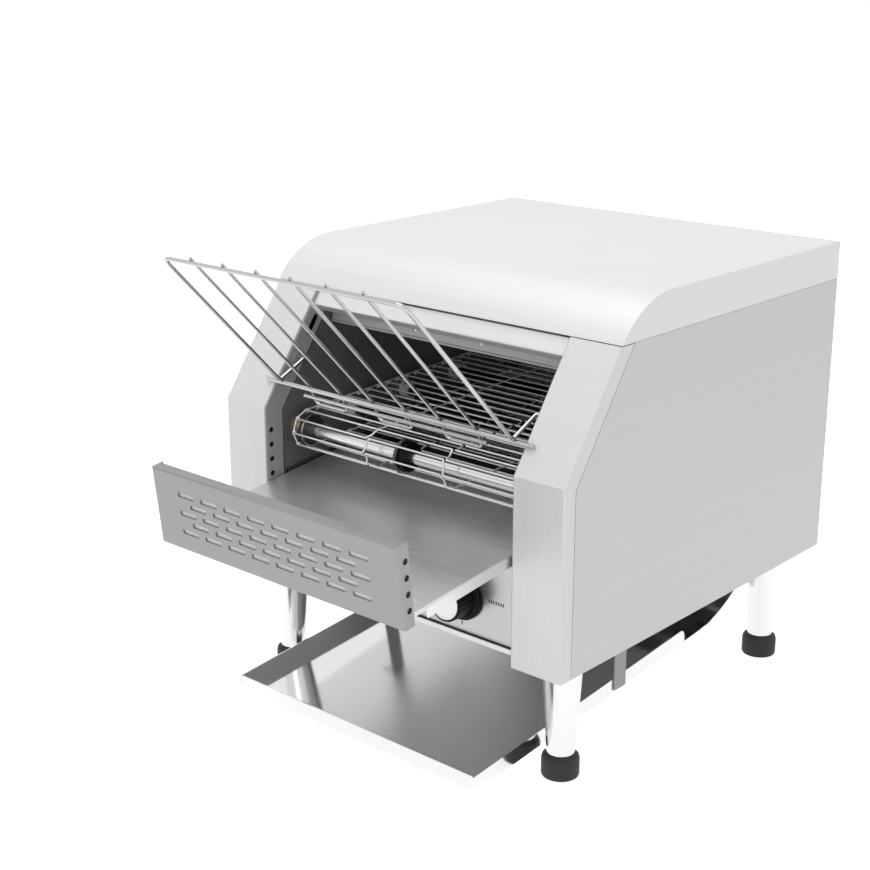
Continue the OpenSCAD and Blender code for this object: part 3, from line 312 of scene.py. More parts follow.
def brushed_group():
    """Grain of long fine lines and wider streaks, with soft clouds of handling over it."""
    stretch = ("Stretch", "NodeSocketVector", (8.0, 600.0, 600.0))
    group, entry, result = surface_group("brushed grain", stretch, (0.7, 0.7, 0.7), 0.3, 0.3, 0.1)
    stretched = group.nodes.new("ShaderNodeVectorMath")
    stretched.operation = "MULTIPLY"
    for socket, name in zip(stretched.inputs, ("Vector", "Stretch")):
        group.links.new(entry.outputs[name], socket)
    along = stretched.outputs[0]
    lines = new_node(group, "ShaderNodeTexNoise", vector=along, scale=1.0, detail=3.0, roughness=0.7)
    streaks = new_node(group, "ShaderNodeTexNoise", vector=along, scale=0.22, detail=2.0)
    clouds = new_node(group, "ShaderNodeTexNoise", vector=entry.outputs["Vector"], scale=9.0, detail=2.0)
    change = math_node(group, "SUBTRACT", lines.outputs["Fac"], 0.5)
    for wide, share in ((streaks, 0.25), (clouds, 0.3)):
        wave = math_node(group, "SUBTRACT", wide.outputs["Fac"], 0.5)
        change = math_node(group, "MULTIPLY_ADD", wave, share, change)
    return vary_surface(group, entry, result, change, lines.outputs["Fac"])


def mottled_group():
    """Fine even pits with a slight change of colour, for moulded, cast and fired surfaces."""
    scale = ("Scale", "NodeSocketFloat", 1200.0)
    group, entry, result = surface_group("mottled", scale, (0.5, 0.5, 0.5), 0.2, 0.4, 0.15)
    place = entry.outputs["Vector"]
    pits = new_node(group, "ShaderNodeTexNoise", vector=place, scale=entry.outputs["Scale"], detail=2.0)
    clouds = new_node(group, "ShaderNodeTexNoise", vector=place, scale=40.0, detail=3.0)
    change = math_node(group, "SUBTRACT", clouds.outputs["Fac"], 0.5)
    return vary_surface(group, entry, result, change, pits.outputs["Fac"])


def painted_shade_group():
    """Painted shade: darkens a colour where a sheet lies nearer to the middle plane than the edge of the
    opening, where the pillars' inner flanges face the dark chamber.
    """
    group, entry, result = group_with("opening shade", [
        ("Vector", "NodeSocketVector", None),
        ("Color", "NodeSocketColor", (0.8, 0.8, 0.8, 1.0)),
        ("Edge", "NodeSocketFloat", 0.138),
        ("Share", "NodeSocketFloat", 0.5),
    ], [("Color", "NodeSocketColor")])
    place = new_node(group, "ShaderNodeSeparateXYZ", vector=entry.outputs["Vector"])
    from_middle = math_node(group, "ABSOLUTE", place.outputs["X"])
    inside = math_node(group, "LESS_THAN", from_middle, entry.outputs["Edge"])
    less = math_node(group, "SUBTRACT", entry.outputs["Share"], 1.0)
    factor = math_node(group, "MULTIPLY_ADD", inside, less, 1.0)
    group.links.new(scaled(group, entry.outputs["Color"], factor), result.inputs["Color"])
    return group


def paint_opening_shade(material, edge, share):
    """Puts the painted shade of the opening between a material's colour and its shader."""
    tree = material.node_tree
    shader = next(node for node in tree.nodes if node.type == "BSDF_PRINCIPLED")
    coordinates = next(node for node in tree.nodes if node.type == "TEX_COORD")
    tone = shader.inputs["Base Color"].links[0].from_socket
    shade = new_node(tree, "ShaderNodeGroup", node_tree=painted_shade_group(), vector=coordinates.outputs["Object"],
                     color=tone, edge=edge, share=share)
    tree.links.new(shade.outputs["Color"], shader.inputs["Base Color"])


def new_material(name, group, bump, shader_values, group_values):
    """A material whose colour, roughness and bump come from one of the shared groups."""
    material = bpy.data.materials.new(name)
    material.use_nodes = True
    tree = material.node_tree
    tree.nodes.clear()
    coordinates = tree.nodes.new("ShaderNodeTexCoord")
    texture = new_node(tree, "ShaderNodeGroup", node_tree=group, vector=coordinates.outputs["Object"])
    tone, rough, height = texture.outputs
    relief = new_node(tree, "ShaderNodeBump", strength=bump, distance=BUMP_DEPTH, height=height)
    shader = new_node(tree, "ShaderNodeBsdfPrincipled", base_color=tone, roughness=rough,
                      normal=relief.outputs["Normal"])
    for node, values in ((texture, group_values), (shader, shader_values)):
        for label, value in values.items():
            node.inputs[label].default_value = value
    new_node(tree, "ShaderNodeOutputMaterial", surface=shader.outputs[0])
    return material


def linear(value):
    """A property's colour with full alpha."""
    return (*value, 1.0)


# ---------- mesh helpers ----------

def material_named(name):
    return bpy.data.materials[name]


def add_object(name, mesh):
    """Links a new object at the origin."""
    piece = bpy.data.objects.new(name, mesh)
    bpy.context.scene.collection.objects.link(piece)
    return piece


def finish_piece(piece, body, finish, replaced=()):
    """Gives a piece its material and body, and hides the nodes it stands for."""
    piece.data.materials.clear()
    piece.data.materials.append(material_named(finish))
    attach(piece, body)
    if replaced:
        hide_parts(*replaced)
    return piece


def rounded_path(points, radius, steps=6):
    """The points of an open path whose inner corners are arcs."""
    path = [Vector(points[0])]
    for before, corner, after in zip(points, points[1:], points[2:]):
        corner = Vector(corner)
        back = (Vector(before) - corner).normalized()
        ahead = (Vector(after) - corner).normalized()
        half = back.angle(ahead) / 2
        reach = radius / math.tan(half)
        centre = corner + (back + ahead).normalized() * radius / math.sin(half)
        start = corner + back * reach - centre
        end = corner + ahead * reach - centre
        sweep = start.angle(end)
        for k in range(steps + 1):
            a = sweep * k / steps
            path.append(centre + (start * math.sin(sweep - a) + end * math.sin(a)) / math.sin(sweep))
    path.append(Vector(points[-1]))
    return path


def baked(holder):
    """The mesh of an object after its curve or modifiers."""
    bpy.context.view_layer.update()
    return bpy.data.meshes.new_from_object(holder.evaluated_get(bpy.context.evaluated_depsgraph_get()))


def rod_mesh(name, paths, diameter, resolution=3):
    """Round rods along open paths, as one smooth mesh with closed ends."""
    curve = bpy.data.curves.new(name, "CURVE")
    curve.dimensions = "3D"
    curve.bevel_depth = diameter / 2
    curve.bevel_resolution = resolution
    curve.use_fill_caps = True
    for path in paths:
        spline = curve.splines.new("POLY")
        spline.points.add(len(path) - 1)
        for point, place in zip(spline.points, path):
            point.co = (*place, 1)
    holder = add_object(name, curve)
    mesh = baked(holder)
    bpy.data.objects.remove(holder)
    bpy.data.curves.remove(curve)
    smooth_by_angle(mesh, 40)
    mesh.name = name
    return mesh


def smooth_by_angle(mesh, degrees):
    """Smooth shading, with edges sharper than this left crisp."""
    work = bmesh.new()
    work.from_mesh(mesh)
    bmesh.ops.remove_doubles(work, verts=work.verts, dist=1e-7)
    bmesh.ops.recalc_face_normals(work, faces=work.faces)
    limit = math.radians(degrees)
    for face in work.faces:
        face.smooth = True
    for edge in work.edges:
        edge.smooth = len(edge.link_faces) == 2 and edge.calc_face_angle(0) < limit
    work.to_mesh(mesh)
    work.free()


def mesh_from(work, name, degrees=None):
    """The mesh of a work mesh, shaded smooth up to an angle where one is given."""
    mesh = bpy.data.meshes.new(name)
    work.to_mesh(mesh)
    work.free()
    if degrees:
        smooth_by_angle(mesh, degrees)
    return mesh


def from_mm(points):
    """Profile points in metres from millimetres; a third value stays."""
    return [(radius * MM, height * MM, *fluted) for radius, height, *fluted in points]


def lathe_mesh(name, profile, place, direction=(0, 0, 1), segments=64, degrees=35, flutes=0, flute_depth=0.0):
    """A turned shape of (radius, height) rings, closed at its poles; a ring with a third value is fluted."""
    work = bmesh.new()
    rings = []
    for radius, height, *fluted in profile:
        if radius < 1e-9:
            rings.append([work.verts.new((0, 0, height))])
            continue
        ring = []
        for k in range(segments):
            a = 2 * math.pi * k / segments
            r = radius - (flute_depth * (0.5 - 0.5 * math.cos(flutes * a)) if fluted else 0)
            ring.append(work.verts.new((r * math.cos(a), r * math.sin(a), height)))
        rings.append(ring)
    for low, high in zip(rings, rings[1:]):
        for k in range(segments):
            ahead = k + 1
            around = [low[k % len(low)], low[ahead % len(low)], high[ahead % len(high)], high[k % len(high)]]
            face = list(dict.fromkeys(around))
            if len(face) > 2:
                work.faces.new(face)
    turn = Vector((0, 0, 1)).rotation_difference(Vector(direction)).to_matrix().to_4x4()
    work.transform(Matrix.Translation(place) @ turn)
    return mesh_from(work, name, degrees)


def prism_mesh(name, outline, push, degrees=20):
    """A flat closed outline pushed along a vector."""
    work = bmesh.new()
    low = [work.verts.new(p) for p in outline]
    high = [work.verts.new(Vector(p) + Vector(push)) for p in outline]
    work.faces.new(low[::-1])
    work.faces.new(high)
    for k in range(len(low)):
        ahead = (k + 1) % len(low)
        work.faces.new((low[k], low[ahead], high[ahead], high[k]))
    return mesh_from(work, name, degrees)


def block_mesh(name, size, bevel, segments):
    """A block about the origin with bevelled edges."""
    work = bmesh.new()
    bmesh.ops.create_cube(work, size=1)
    bmesh.ops.scale(work, verts=work.verts, vec=size)
    bmesh.ops.bevel(work, geom=work.edges[:], offset=bevel, segments=segments, profile=0.5, affect="EDGES")
    return mesh_from(work, name)


def islands(node):
    """(low corner, high corner) of each solid of a CAD node, in order of x, y and z."""
    work = bmesh.new()
    work.from_mesh(frame["nodes"][node].data)
    bmesh.ops.remove_doubles(work, verts=work.verts, dist=1e-6)
    left = set(work.verts)
    found = []
    while left:
        group = [left.pop()]
        for vert in group:
            for edge in vert.link_edges:
                other = edge.other_vert(vert)
                if other in left:
                    left.remove(other)
                    group.append(other)
        corners = [[v.co[axis] for v in group] for axis in range(3)]
        found.append((Vector([min(c) for c in corners]), Vector([max(c) for c in corners])))
    work.free()
    return sorted(found, key=lambda pair: tuple(round(v, 4) for v in pair[0]))


def joined(name, meshes):
    """Several meshes as one."""
    work = bmesh.new()
    for mesh in meshes:
        work.from_mesh(mesh)
    return mesh_from(work, name)


def points_tree(name, inputs):
    """A geometry node tree that takes points, a material and these inputs, and its input node."""
    tree = bpy.data.node_groups.new(name, "GeometryNodeTree")
    for label, kind in (("Geometry", "Geometry"), *inputs, ("Material", "Material")):
        tree.interface.new_socket(label, in_out="INPUT", socket_type="NodeSocket" + kind)
    tree.interface.new_socket("Geometry", in_out="OUTPUT", socket_type="NodeSocketGeometry")
    return tree, tree.nodes.new("NodeGroupInput")


def copy_to_points(tree, entry, pattern, **turned):
    """Ends a tree with a realized and painted copy of the pattern at each point."""
    points = entry.outputs["Geometry"]
    copies = new_node(tree, "GeometryNodeInstanceOnPoints", points=points, instance=pattern, **turned)
    real = new_node(tree, "GeometryNodeRealizeInstances", geometry=copies.outputs[0])
    painted = new_node(tree, "GeometryNodeSetMaterial", geometry=real.outputs[0],
                       material=entry.outputs["Material"])
    new_node(tree, "NodeGroupOutput", geometry=painted.outputs[0])
    return tree


def copies_tree():
    """Geometry nodes: a copy of a piece at each point, turned as the point says."""
    tree, entry = points_tree("copies on points", [("Piece", "Object")])
    info = new_node(tree, "GeometryNodeObjectInfo", object=entry.outputs["Piece"])
    turn = new_node(tree, "GeometryNodeInputNamedAttribute", data_type="FLOAT_VECTOR", name="turn")
    return copy_to_points(tree, entry, info.outputs["Geometry"], rotation=turn.outputs["Attribute"])


def coil_tree():
    """Geometry nodes: a wire coil along X at each point."""
    sizes = ("Turns", "Radius", "Length", "Wire Radius")
    tree, entry = points_tree("coils on points", [(label, "Float") for label in sizes])
    turns, radius, length, wire_radius = (entry.outputs[label] for label in sizes)
    spiral = new_node(tree, "GeometryNodeCurveSpiral", resolution=12, rotations=turns, start_radius=radius,
                      end_radius=radius, height=length)
    section = new_node(tree, "GeometryNodeCurvePrimitiveCircle", resolution=6, radius=wire_radius)
    wire = new_node(tree, "GeometryNodeCurveToMesh", curve=spiral.outputs[0],
                    profile_curve=section.outputs[0], fill_caps=True)
    laid = new_node(tree, "GeometryNodeTransform", geometry=wire.outputs[0], rotation=(0, math.pi / 2, 0))
    return copy_to_points(tree, entry, laid.outputs[0])


def run_tree(name, points, tree, values, turns=None, degrees=40):
    """Bakes a node tree over points into one plain mesh object."""
    seeds = bpy.data.meshes.new(name + " points")
    seeds.from_pydata([tuple(p) for p in points], [], [])
    attribute = seeds.attributes.new("turn", "FLOAT_VECTOR", "POINT")
    for item, turn in zip(attribute.data, turns or [ORIGIN] * len(points)):
        item.vector = turn
    piece = add_object(name, seeds)
    modifier = piece.modifiers.new("nodes", "NODES")
    modifier.node_group = tree
    for item in tree.interface.items_tree:
        if item.in_out == "INPUT" and item.name in values:
            modifier[item.identifier] = values[item.name]
    mesh = baked(piece)
    piece.modifiers.remove(modifier)
    piece.data = mesh
    mesh.name = name
    bpy.data.meshes.remove(seeds)
    smooth_by_angle(mesh, degrees)
    return piece


def place_copies(name, mesh, points, finish, turns=None, degrees=40):
    """One object with a copy of the mesh at each point."""
    pattern = add_object(name + " pattern", mesh)
    tree = bpy.data.node_groups.get("copies on points") or copies_tree()
    values = {"Piece": pattern, "Material": material_named(finish)}
    piece = run_tree(name, points, tree, values, turns, degrees)
    bpy.data.objects.remove(pattern)
    return piece


def seen_white(tree):
    """1 for camera, mirror and glass rays, to which room and floor look white, and 0 for other rays."""
    path = tree.nodes.new("ShaderNodeLightPath")
    bent = math_node(tree, "MAXIMUM", path.outputs["Is Glossy Ray"], path.outputs["Is Transmission Ray"])
    return math_node(tree, "MAXIMUM", path.outputs["Is Camera Ray"], bent)


def half_width_mm(node):
    """Half of a node's width along X, in millimetres."""
    low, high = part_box(node)
    return (high.x - low.x) / 2 / MM


def middle_of(node):
    """The middle of a node's box."""
    return sum(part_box(node), Vector()) / 2


# ---------- operators ----------

class TOASTER_OT_stage(bpy.types.Operator):
    """Camera, lamps, white floor and white room"""
    bl_idname = "toaster.stage"
    bl_label = "Stage"

    def execute(self, context):
        settings = context.scene.toaster_stage
        self.add_camera(context, settings)
        self.add_lamps(context, settings)
        self.add_room(context, settings)
        self.add_floor(context, settings)
        context.scene.view_settings.view_transform = "Standard"
        return {"FINISHED"}

    def add_camera(self, context, settings):
        camera = bpy.data.objects.new("camera", bpy.data.cameras.new("camera"))
        context.scene.collection.objects.link(camera)
        camera.data.lens = settings.focal_length
        camera.data.sensor_width = 36
        camera.data.clip_end = 50
        camera.location = (settings.camera_side, PILLAR_FRONT - settings.camera_front, settings.camera_height)
        camera.rotation_euler = (math.pi / 2 - settings.camera_dip, 0, settings.camera_turn)
        context.scene.camera = camera

    def add_lamps(self, context, settings):
        for name, power, size, place, target in (
            ("key lamp", settings.key_power, 1.2, (-0.2, 0.0, 2.0), (0, 0, 0.25)),
            ("front lamp", settings.front_power, 0.9, (0.35, -1.7, 0.8), (0.05, -0.1, 0.3)),
        ):
            lamp = bpy.data.objects.new(name, bpy.data.lights.new(name, "AREA"))
            lamp.data.energy = power
            lamp.data.size = size
            lamp.location = place
            lamp.rotation_euler = (Vector(target) - Vector(place)).to_track_quat("-Z", "Y").to_euler()
            context.scene.collection.objects.link(lamp)

    def add_room(self, context, settings):
        world = bpy.data.worlds.new("room")
        world.use_nodes = True
        tree = world.node_tree
        tree.nodes.clear()
        dim = settings.room_light
        strength = math_node(tree, "MULTIPLY_ADD", seen_white(tree), 1 - dim, dim)
        background = new_node(tree, "ShaderNodeBackground", color=(1, 1, 1, 1), strength=strength)
        new_node(tree, "ShaderNodeOutputWorld", surface=background.outputs[0])
        context.scene.world = world

    def add_floor(self, context, settings):
        half = 12.0
        square = [(-half, -half, 0), (half, -half, 0), (half, half, 0), (-half, half, 0)]
        mesh = bpy.data.meshes.new("floor")
        mesh.from_pydata(square, [], [(0, 1, 2, 3)])
        floor = add_object("floor", mesh)
        material = bpy.data.materials.new("white floor")
        material.use_nodes = True
        tree = material.node_tree
        tree.nodes.clear()
        strength = math_node(tree, "MULTIPLY", seen_white(tree), settings.floor_glow)
        glow = new_node(tree, "ShaderNodeEmission", strength=strength)
        diffuse = new_node(tree, "ShaderNodeBsdfDiffuse", color=linear(settings.floor_color))
        both = tree.nodes.new("ShaderNodeAddShader")
        for shader, socket in zip((diffuse, glow), both.inputs):
            tree.links.new(shader.outputs[0], socket)
        new_node(tree, "ShaderNodeOutputMaterial", surface=both.outputs[0])
        mesh.materials.append(material)


# Finish of each node that doesn't take the one of its slot. Brushed lines run across, along or upright.
FINISH_OF_NODE = {
    "hood": "hood sheet",
    # the control panel takes a darker copy of the sheet: painted shadow of the tray
    **dict.fromkeys(("front_lintel", "base_plate"), "sheet steel across"), "control_panel": "shaded panel sheet",
    **dict.fromkeys(("left_front_pillar", "right_front_pillar", "slide_hangers"), "sheet steel upright"),
    # the side panels and the rear panel take a darker copy of the cabinet's sheet: painted shade
    **dict.fromkeys(("left_side_panel", "right_side_panel"), "shaded side sheet along"),
    # the tray's front takes a darker copy of the cabinet's sheet: painted shade
    "rear_panel": "shaded side sheet across", "tray_front": "shaded tray sheet", "tray_floor": "tray floor sheet",
    "heat_guard": "guard sheet", "upper_reflector": "guard sheet",
    "left_chamber_wall": "inner sheet", "right_chamber_wall": "inner sheet",
    "belt_rungs": "belt wire", "belt_links": "belt wire",
    # belt wheels: steel painted near black, painted shade
    **dict.fromkeys(("front_sprockets", "rear_sprockets", "drive_sprocket", "motor_sprocket"), "shaded wheel steel"),
    **dict.fromkeys(("front_shaft", "rear_shaft"), "shaft steel"),
}
FINISH_OF_SLOT = {
    "bright_steel": "bright sheet", "dark_steel": "dark sheet", "wire_steel": "rack rod",
    "turned_steel": "turned steel", "bronze": "bronze", "quartz": "quartz glass", "ceramic": "ceramic",
    "black_plastic": "black plastic", "knob_metal": "knob disc", "control_housing": "housing",
    "lamp_plastic": "lamp lens", "motor_paint": "motor paint", "foot_rubber": "rubber",
}


class TOASTER_OT_finishes(bpy.types.Operator):
    """Materials, and their assignment to every solid of the frame"""
    bl_idname = "toaster.finishes"
    bl_label = "Finishes"

    def execute(self, context):
        settings = context.scene.toaster_finish
        brushed = brushed_group()
        self.add_sheets(settings, brushed)
        self.add_rods(settings, brushed)
        self.add_moulded(settings, mottled_group())
        slots = {row["node"]: row["material_slot"] for row in frame["record"]["subparts"]}
        for name, node in frame["nodes"].items():
            finish = FINISH_OF_NODE.get(name) or FINISH_OF_SLOT[slots[name]]
            node.data.materials.clear()
            node.data.materials.append(material_named(finish))
        return {"FINISHED"}

    def add_sheets(self, settings, brushed):
        """Brushed, bright and heat-darkened sheet."""
        across, along = settings.grain, settings.grain * 0.012
        grain_x, grain_y, grain_z = (along, across, across), (across, along, across), (across, across, along)
        for name, tone, stretch, rough, metal, contrast in (
            ("hood sheet", settings.sheet_color, grain_x, 0.5, 0.42, 0.14),
            ("sheet steel across", settings.sheet_color, grain_x, 0.42, 0.55, 0.14),
            ("sheet steel upright", settings.sheet_color, grain_z, 0.5, 0.28, 0.14),
            # sides and back: the cabinet's sheet painted darker, painted shade
            ("shaded side sheet along", settings.shaded_side_color, grain_y, 0.45, 0.6, 0.14),
            ("shaded side sheet across", settings.shaded_side_color, grain_x, 0.45, 0.6, 0.14),
            # tray front: the cabinet's sheet painted darker, painted shade
            ("shaded tray sheet", settings.shaded_tray_color, grain_x, 0.42, 0.9, 0.3),
            ("tray floor sheet", settings.floor_sheet_color, grain_x, 0.34, 0.85, 0.2),
            # control panel: painted shadow of the tray
            ("shaded panel sheet", settings.shaded_panel_color, grain_x, 0.32, 0.9, 0.2),
            ("guard sheet", settings.guard_color, grain_x, 0.5, 0.3, 0.12),
            ("inner sheet", settings.inner_color, grain_y, 0.45, 0.45, 0.2),
            ("dark sheet", settings.dark_color, grain_y, 0.45, 0.55, 0.3),
            ("liner sheet", settings.liner_color, grain_x, 0.5, 0.1, 0.1),
        ):
            new_material(name, brushed, 0.06, {"Metallic": metal}, {
                "Color": linear(tone), "Contrast": contrast, "Roughness": rough, "Spread": contrast,
                "Stretch": stretch})
        sheet = 1.3 * MM
        opening_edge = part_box("right_front_pillar")[0].x + sheet
        # the upright sheet is painted darker inside the opening: painted shade
        paint_opening_shade(material_named("sheet steel upright"), opening_edge, settings.painted_opening_shade)
        new_material("bright sheet", brushed, 0.02, {"Metallic": 1.0}, {
            "Color": linear(settings.bright_color), "Contrast": 0.08, "Roughness": 0.1, "Spread": 0.1,
            "Stretch": grain_y})

    def add_rods(self, settings, brushed):
        """Drawn, chromed and turned metal."""
        for name, tone, metal, rough, contrast in (
            ("belt wire", settings.wire_color, 0.45, 0.3, 0.1),
            ("rack rod", settings.rod_color, 1.0, 0.16, 0.12),
            ("turned steel", settings.turned_color, 1.0, 0.18, 0.04),
            # wheel steel painted near black: painted shade
            ("shaded wheel steel", settings.shaded_wheel_color, 1.0, 0.4, 0.3),
            ("shaft steel", settings.turned_color, 1.0, 0.2, 0.03),
            ("resistance wire", settings.coil_color, 1.0, 0.45, 0.2),
        ):
            new_material(name, brushed, 0.01, {"Metallic": metal}, {
                "Color": linear(tone), "Contrast": contrast, "Roughness": rough, "Spread": contrast / 2,
                "Stretch": (500.0, 500.0, 500.0)})
        new_material("knob disc", brushed, 0.05, {"Metallic": 0.6}, {
            "Color": linear(settings.disc_color), "Contrast": 0.15, "Roughness": 0.34,
            "Stretch": (settings.grain * 2, settings.grain * 2, 40.0)})

    def add_moulded(self, settings, mottled):
        """Plastic, ceramic, glass, rubber and cast metal."""
        for name, tone, rough, bump, shader in (
            ("bronze", settings.bronze_color, 0.4, 0.3, {"Metallic": 1.0}),
            ("black plastic", settings.black_color, 0.3, 0.15, {"Specular IOR Level": 0.12}),
            ("ceramic", settings.ceramic_color, 0.35, 0.2, {}),
            ("housing", settings.housing_color, 0.5, 0.2, {}),
            ("lamp lens", settings.lamp_color, 0.2, 0.05, {"Transmission Weight": 0.3}),
            ("motor paint", settings.motor_color, 0.45, 0.25, {"Metallic": 0.3}),
            ("rubber", settings.rubber_color, 0.65, 0.4, {}),
            ("quartz glass", settings.quartz_color, 0.07, 0.02, {"Transmission Weight": 1.0, "IOR": 1.46}),
            ("dial ink", settings.mark_color, 0.5, 0.05, {}),
        ):
            new_material(name, mottled, bump, shader, {"Color": linear(tone), "Roughness": rough})


class TOASTER_OT_belt(bpy.types.Operator):
    """Belt of stepped wire strands, each hooked into the next"""
    bl_idname = "toaster.belt"
    bl_label = "Wire belt"

    def execute(self, context):
        settings = context.scene.toaster_belt
        pitch, wire = settings.pitch * MM, settings.wire * MM
        points = self.rung_places(settings)
        turns = []
        for here, ahead in zip(points, points[1:] + points[:1]):
            step = ahead - here
            turns.append(Vector((math.atan2(step.z, step.y), 0, 0)))
        low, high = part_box("belt_rungs")
        strand = rod_mesh("strand", [self.strand_path(settings, (high.x - low.x) / 2, pitch)], wire, 2)
        belt = place_copies("wire_belt", strand, points, "belt wire", turns, 60)
        finish_piece(belt, "cabinet", "belt wire", ("belt_rungs", "belt_links"))
        return {"FINISHED"}

    def rung_places(self, settings):
        """Places of the rungs: upper run, rear turn, lower run, front turn."""
        pitch = settings.pitch * MM
        radius = pitch / 2 / math.sin(math.pi / 2 / settings.turn_pitches)
        run = Vector((0, math.cos(settings.tilt), math.sin(settings.tilt)))
        rise = Vector((0, -run.z, run.y))
        front = middle_of("front_shaft")
        front.x = 0
        rear = front + run * pitch * settings.run_pitches
        places = [front + run * pitch * i + rise * radius for i in range(settings.run_pitches)]
        for centre, sign in ((rear, 1), (front, -1)):
            for k in range(settings.turn_pitches):
                a = math.pi * k / settings.turn_pitches
                places.append(centre + (rise * math.cos(a) + run * math.sin(a)) * radius * sign)
            if sign == 1:
                places += [rear - run * pitch * i - rise * radius for i in range(settings.run_pitches)]
        return places

    def strand_path(self, settings, half, pitch):
        """One strand: outer thirds on its own rung, the middle on the next, hooked at both ends."""
        step = settings.joint_step * MM / 2
        dip = settings.joint_dip * MM
        third = half / 3
        inner = half - settings.wire * MM / 2
        hook = settings.wire * MM
        right = [(third - step, pitch, 0), (third, pitch / 2, -dip), (third + step, 0, 0), (inner, 0, 0),
                 (inner, pitch + hook, 0), (inner - hook, pitch + hook, -hook),
                 (inner - hook, pitch - hook, -hook)]
        left = [(-x, y, z) for x, y, z in reversed(right)]
        return rounded_path(left + right, settings.bend * MM, 3)


class TOASTER_OT_rack(bpy.types.Operator):
    """Loading rack of bent rods"""
    bl_idname = "toaster.rack"
    bl_label = "Loading rack"

    def execute(self, context):
        settings = context.scene.toaster_rack
        self.add_frame(settings)
        self.add_wires(settings)
        for node, diameter in (("rack_crossbar", settings.crossbar), ("rack_tie_bar", settings.tie_bar)):
            self.add_bar(node, diameter * MM / 2)
        return {"FINISHED"}

    def add_bar(self, node, radius):
        """Straight rod along X with rounded ends."""
        low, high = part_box(node)
        middle = middle_of(node)
        round_end = [(0, 0), (radius * 0.7, 0), (radius, radius * 0.3)]
        profile = round_end + [(r, high.x - low.x - h) for r, h in reversed(round_end)]
        mesh = lathe_mesh(node, profile, (low.x, middle.y, middle.z), (1, 0, 0), 24)
        finish_piece(add_object(node + "_rod", mesh), "loading_rack", "rack rod", (node,))

    def add_frame(self, settings):
        """Frame rod from pin to pin: tight bends at the pins and arms, wide ones at the top corners."""
        vertices = [v.co for v in frame["nodes"]["rack_frame"].data.vertices]
        low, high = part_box("rack_frame")
        radius = settings.frame_rod * MM / 2
        top = Vector((0, low.y + radius, high.z - radius))
        cross = middle_of("rack_crossbar")
        low_corner = cross + (top - cross).normalized() * (settings.frame_rod + settings.crossbar) * MM / 2
        near = 20 * MM
        side = min(abs(v.x) for v in vertices if v.z < cross.z + near) + radius
        pins = [v for v in vertices if v.x > high.x - 1e-5]
        pin = sum(pins, Vector()) / len(pins)
        points = [(high.x, pin.y, pin.z), (side, pin.y, pin.z), (side, low_corner.y, low_corner.z),
                  (side, top.y, top.z), (0, top.y, top.z)]
        right = rounded_path(points[:4], settings.pin_corner * MM, 5)[:-1]
        right += rounded_path(points[2:], settings.corner * MM, 8)[1:]
        left = [Vector((-p.x, p.y, p.z)) for p in reversed(right)]
        mesh = rod_mesh("rods", [right[:-1] + left[1:]], settings.frame_rod * MM, 4)
        rods = add_object("rack_frame_rods", mesh)
        finish_piece(rods, "loading_rack", "rack rod", ("rack_frame",))

    def add_wires(self, settings):
        """Bread wires over the top bar and the crossbar, bent down below the crossbar."""
        low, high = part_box("rack_wires")
        radius, frame_radius = settings.bread_wire * MM / 2, settings.frame_rod * MM / 2
        lift = radius - settings.weld * MM
        frame_low, frame_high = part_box("rack_frame")
        top_bar = Vector((0, frame_low.y + frame_radius, frame_high.z - frame_radius))
        cross = middle_of("rack_crossbar")
        along = (top_bar - cross).normalized()
        over = Vector((0, along.z, -along.y))
        first = top_bar + over * (frame_radius + lift)
        last = cross + over * (settings.crossbar * MM / 2 + lift)
        along = (first - last).normalized()
        bend = last - along * settings.past_cross * MM
        leg = Matrix.Rotation(-settings.leg_bend, 3, "X") @ -along * settings.wire_leg * MM
        pitch = (high.x - low.x - 2 * radius) / 5
        side = Vector((pitch / 2, 0, 0))
        path = [first + along * settings.past_bar * MM, bend, bend + leg]
        middle = (path[0] + path[-1]) / 2 + Vector(((low.x + high.x) / 2, 0, 0))
        centre = Vector((0, middle.y, middle.z))
        points = [p - centre - side for p in path] + [p - centre + side for p in reversed(path)]
        wire = rod_mesh("bread wire", [rounded_path(points, settings.wire_corner * MM, 6)], radius * 2, 4)
        places = [middle + Vector((pitch * 2 * k, 0, 0)) for k in (-1, 0, 1)]
        wires = place_copies("rack_bread_wires", wire, places, "rack rod")
        finish_piece(wires, "loading_rack", "rack rod", ("rack_wires",))


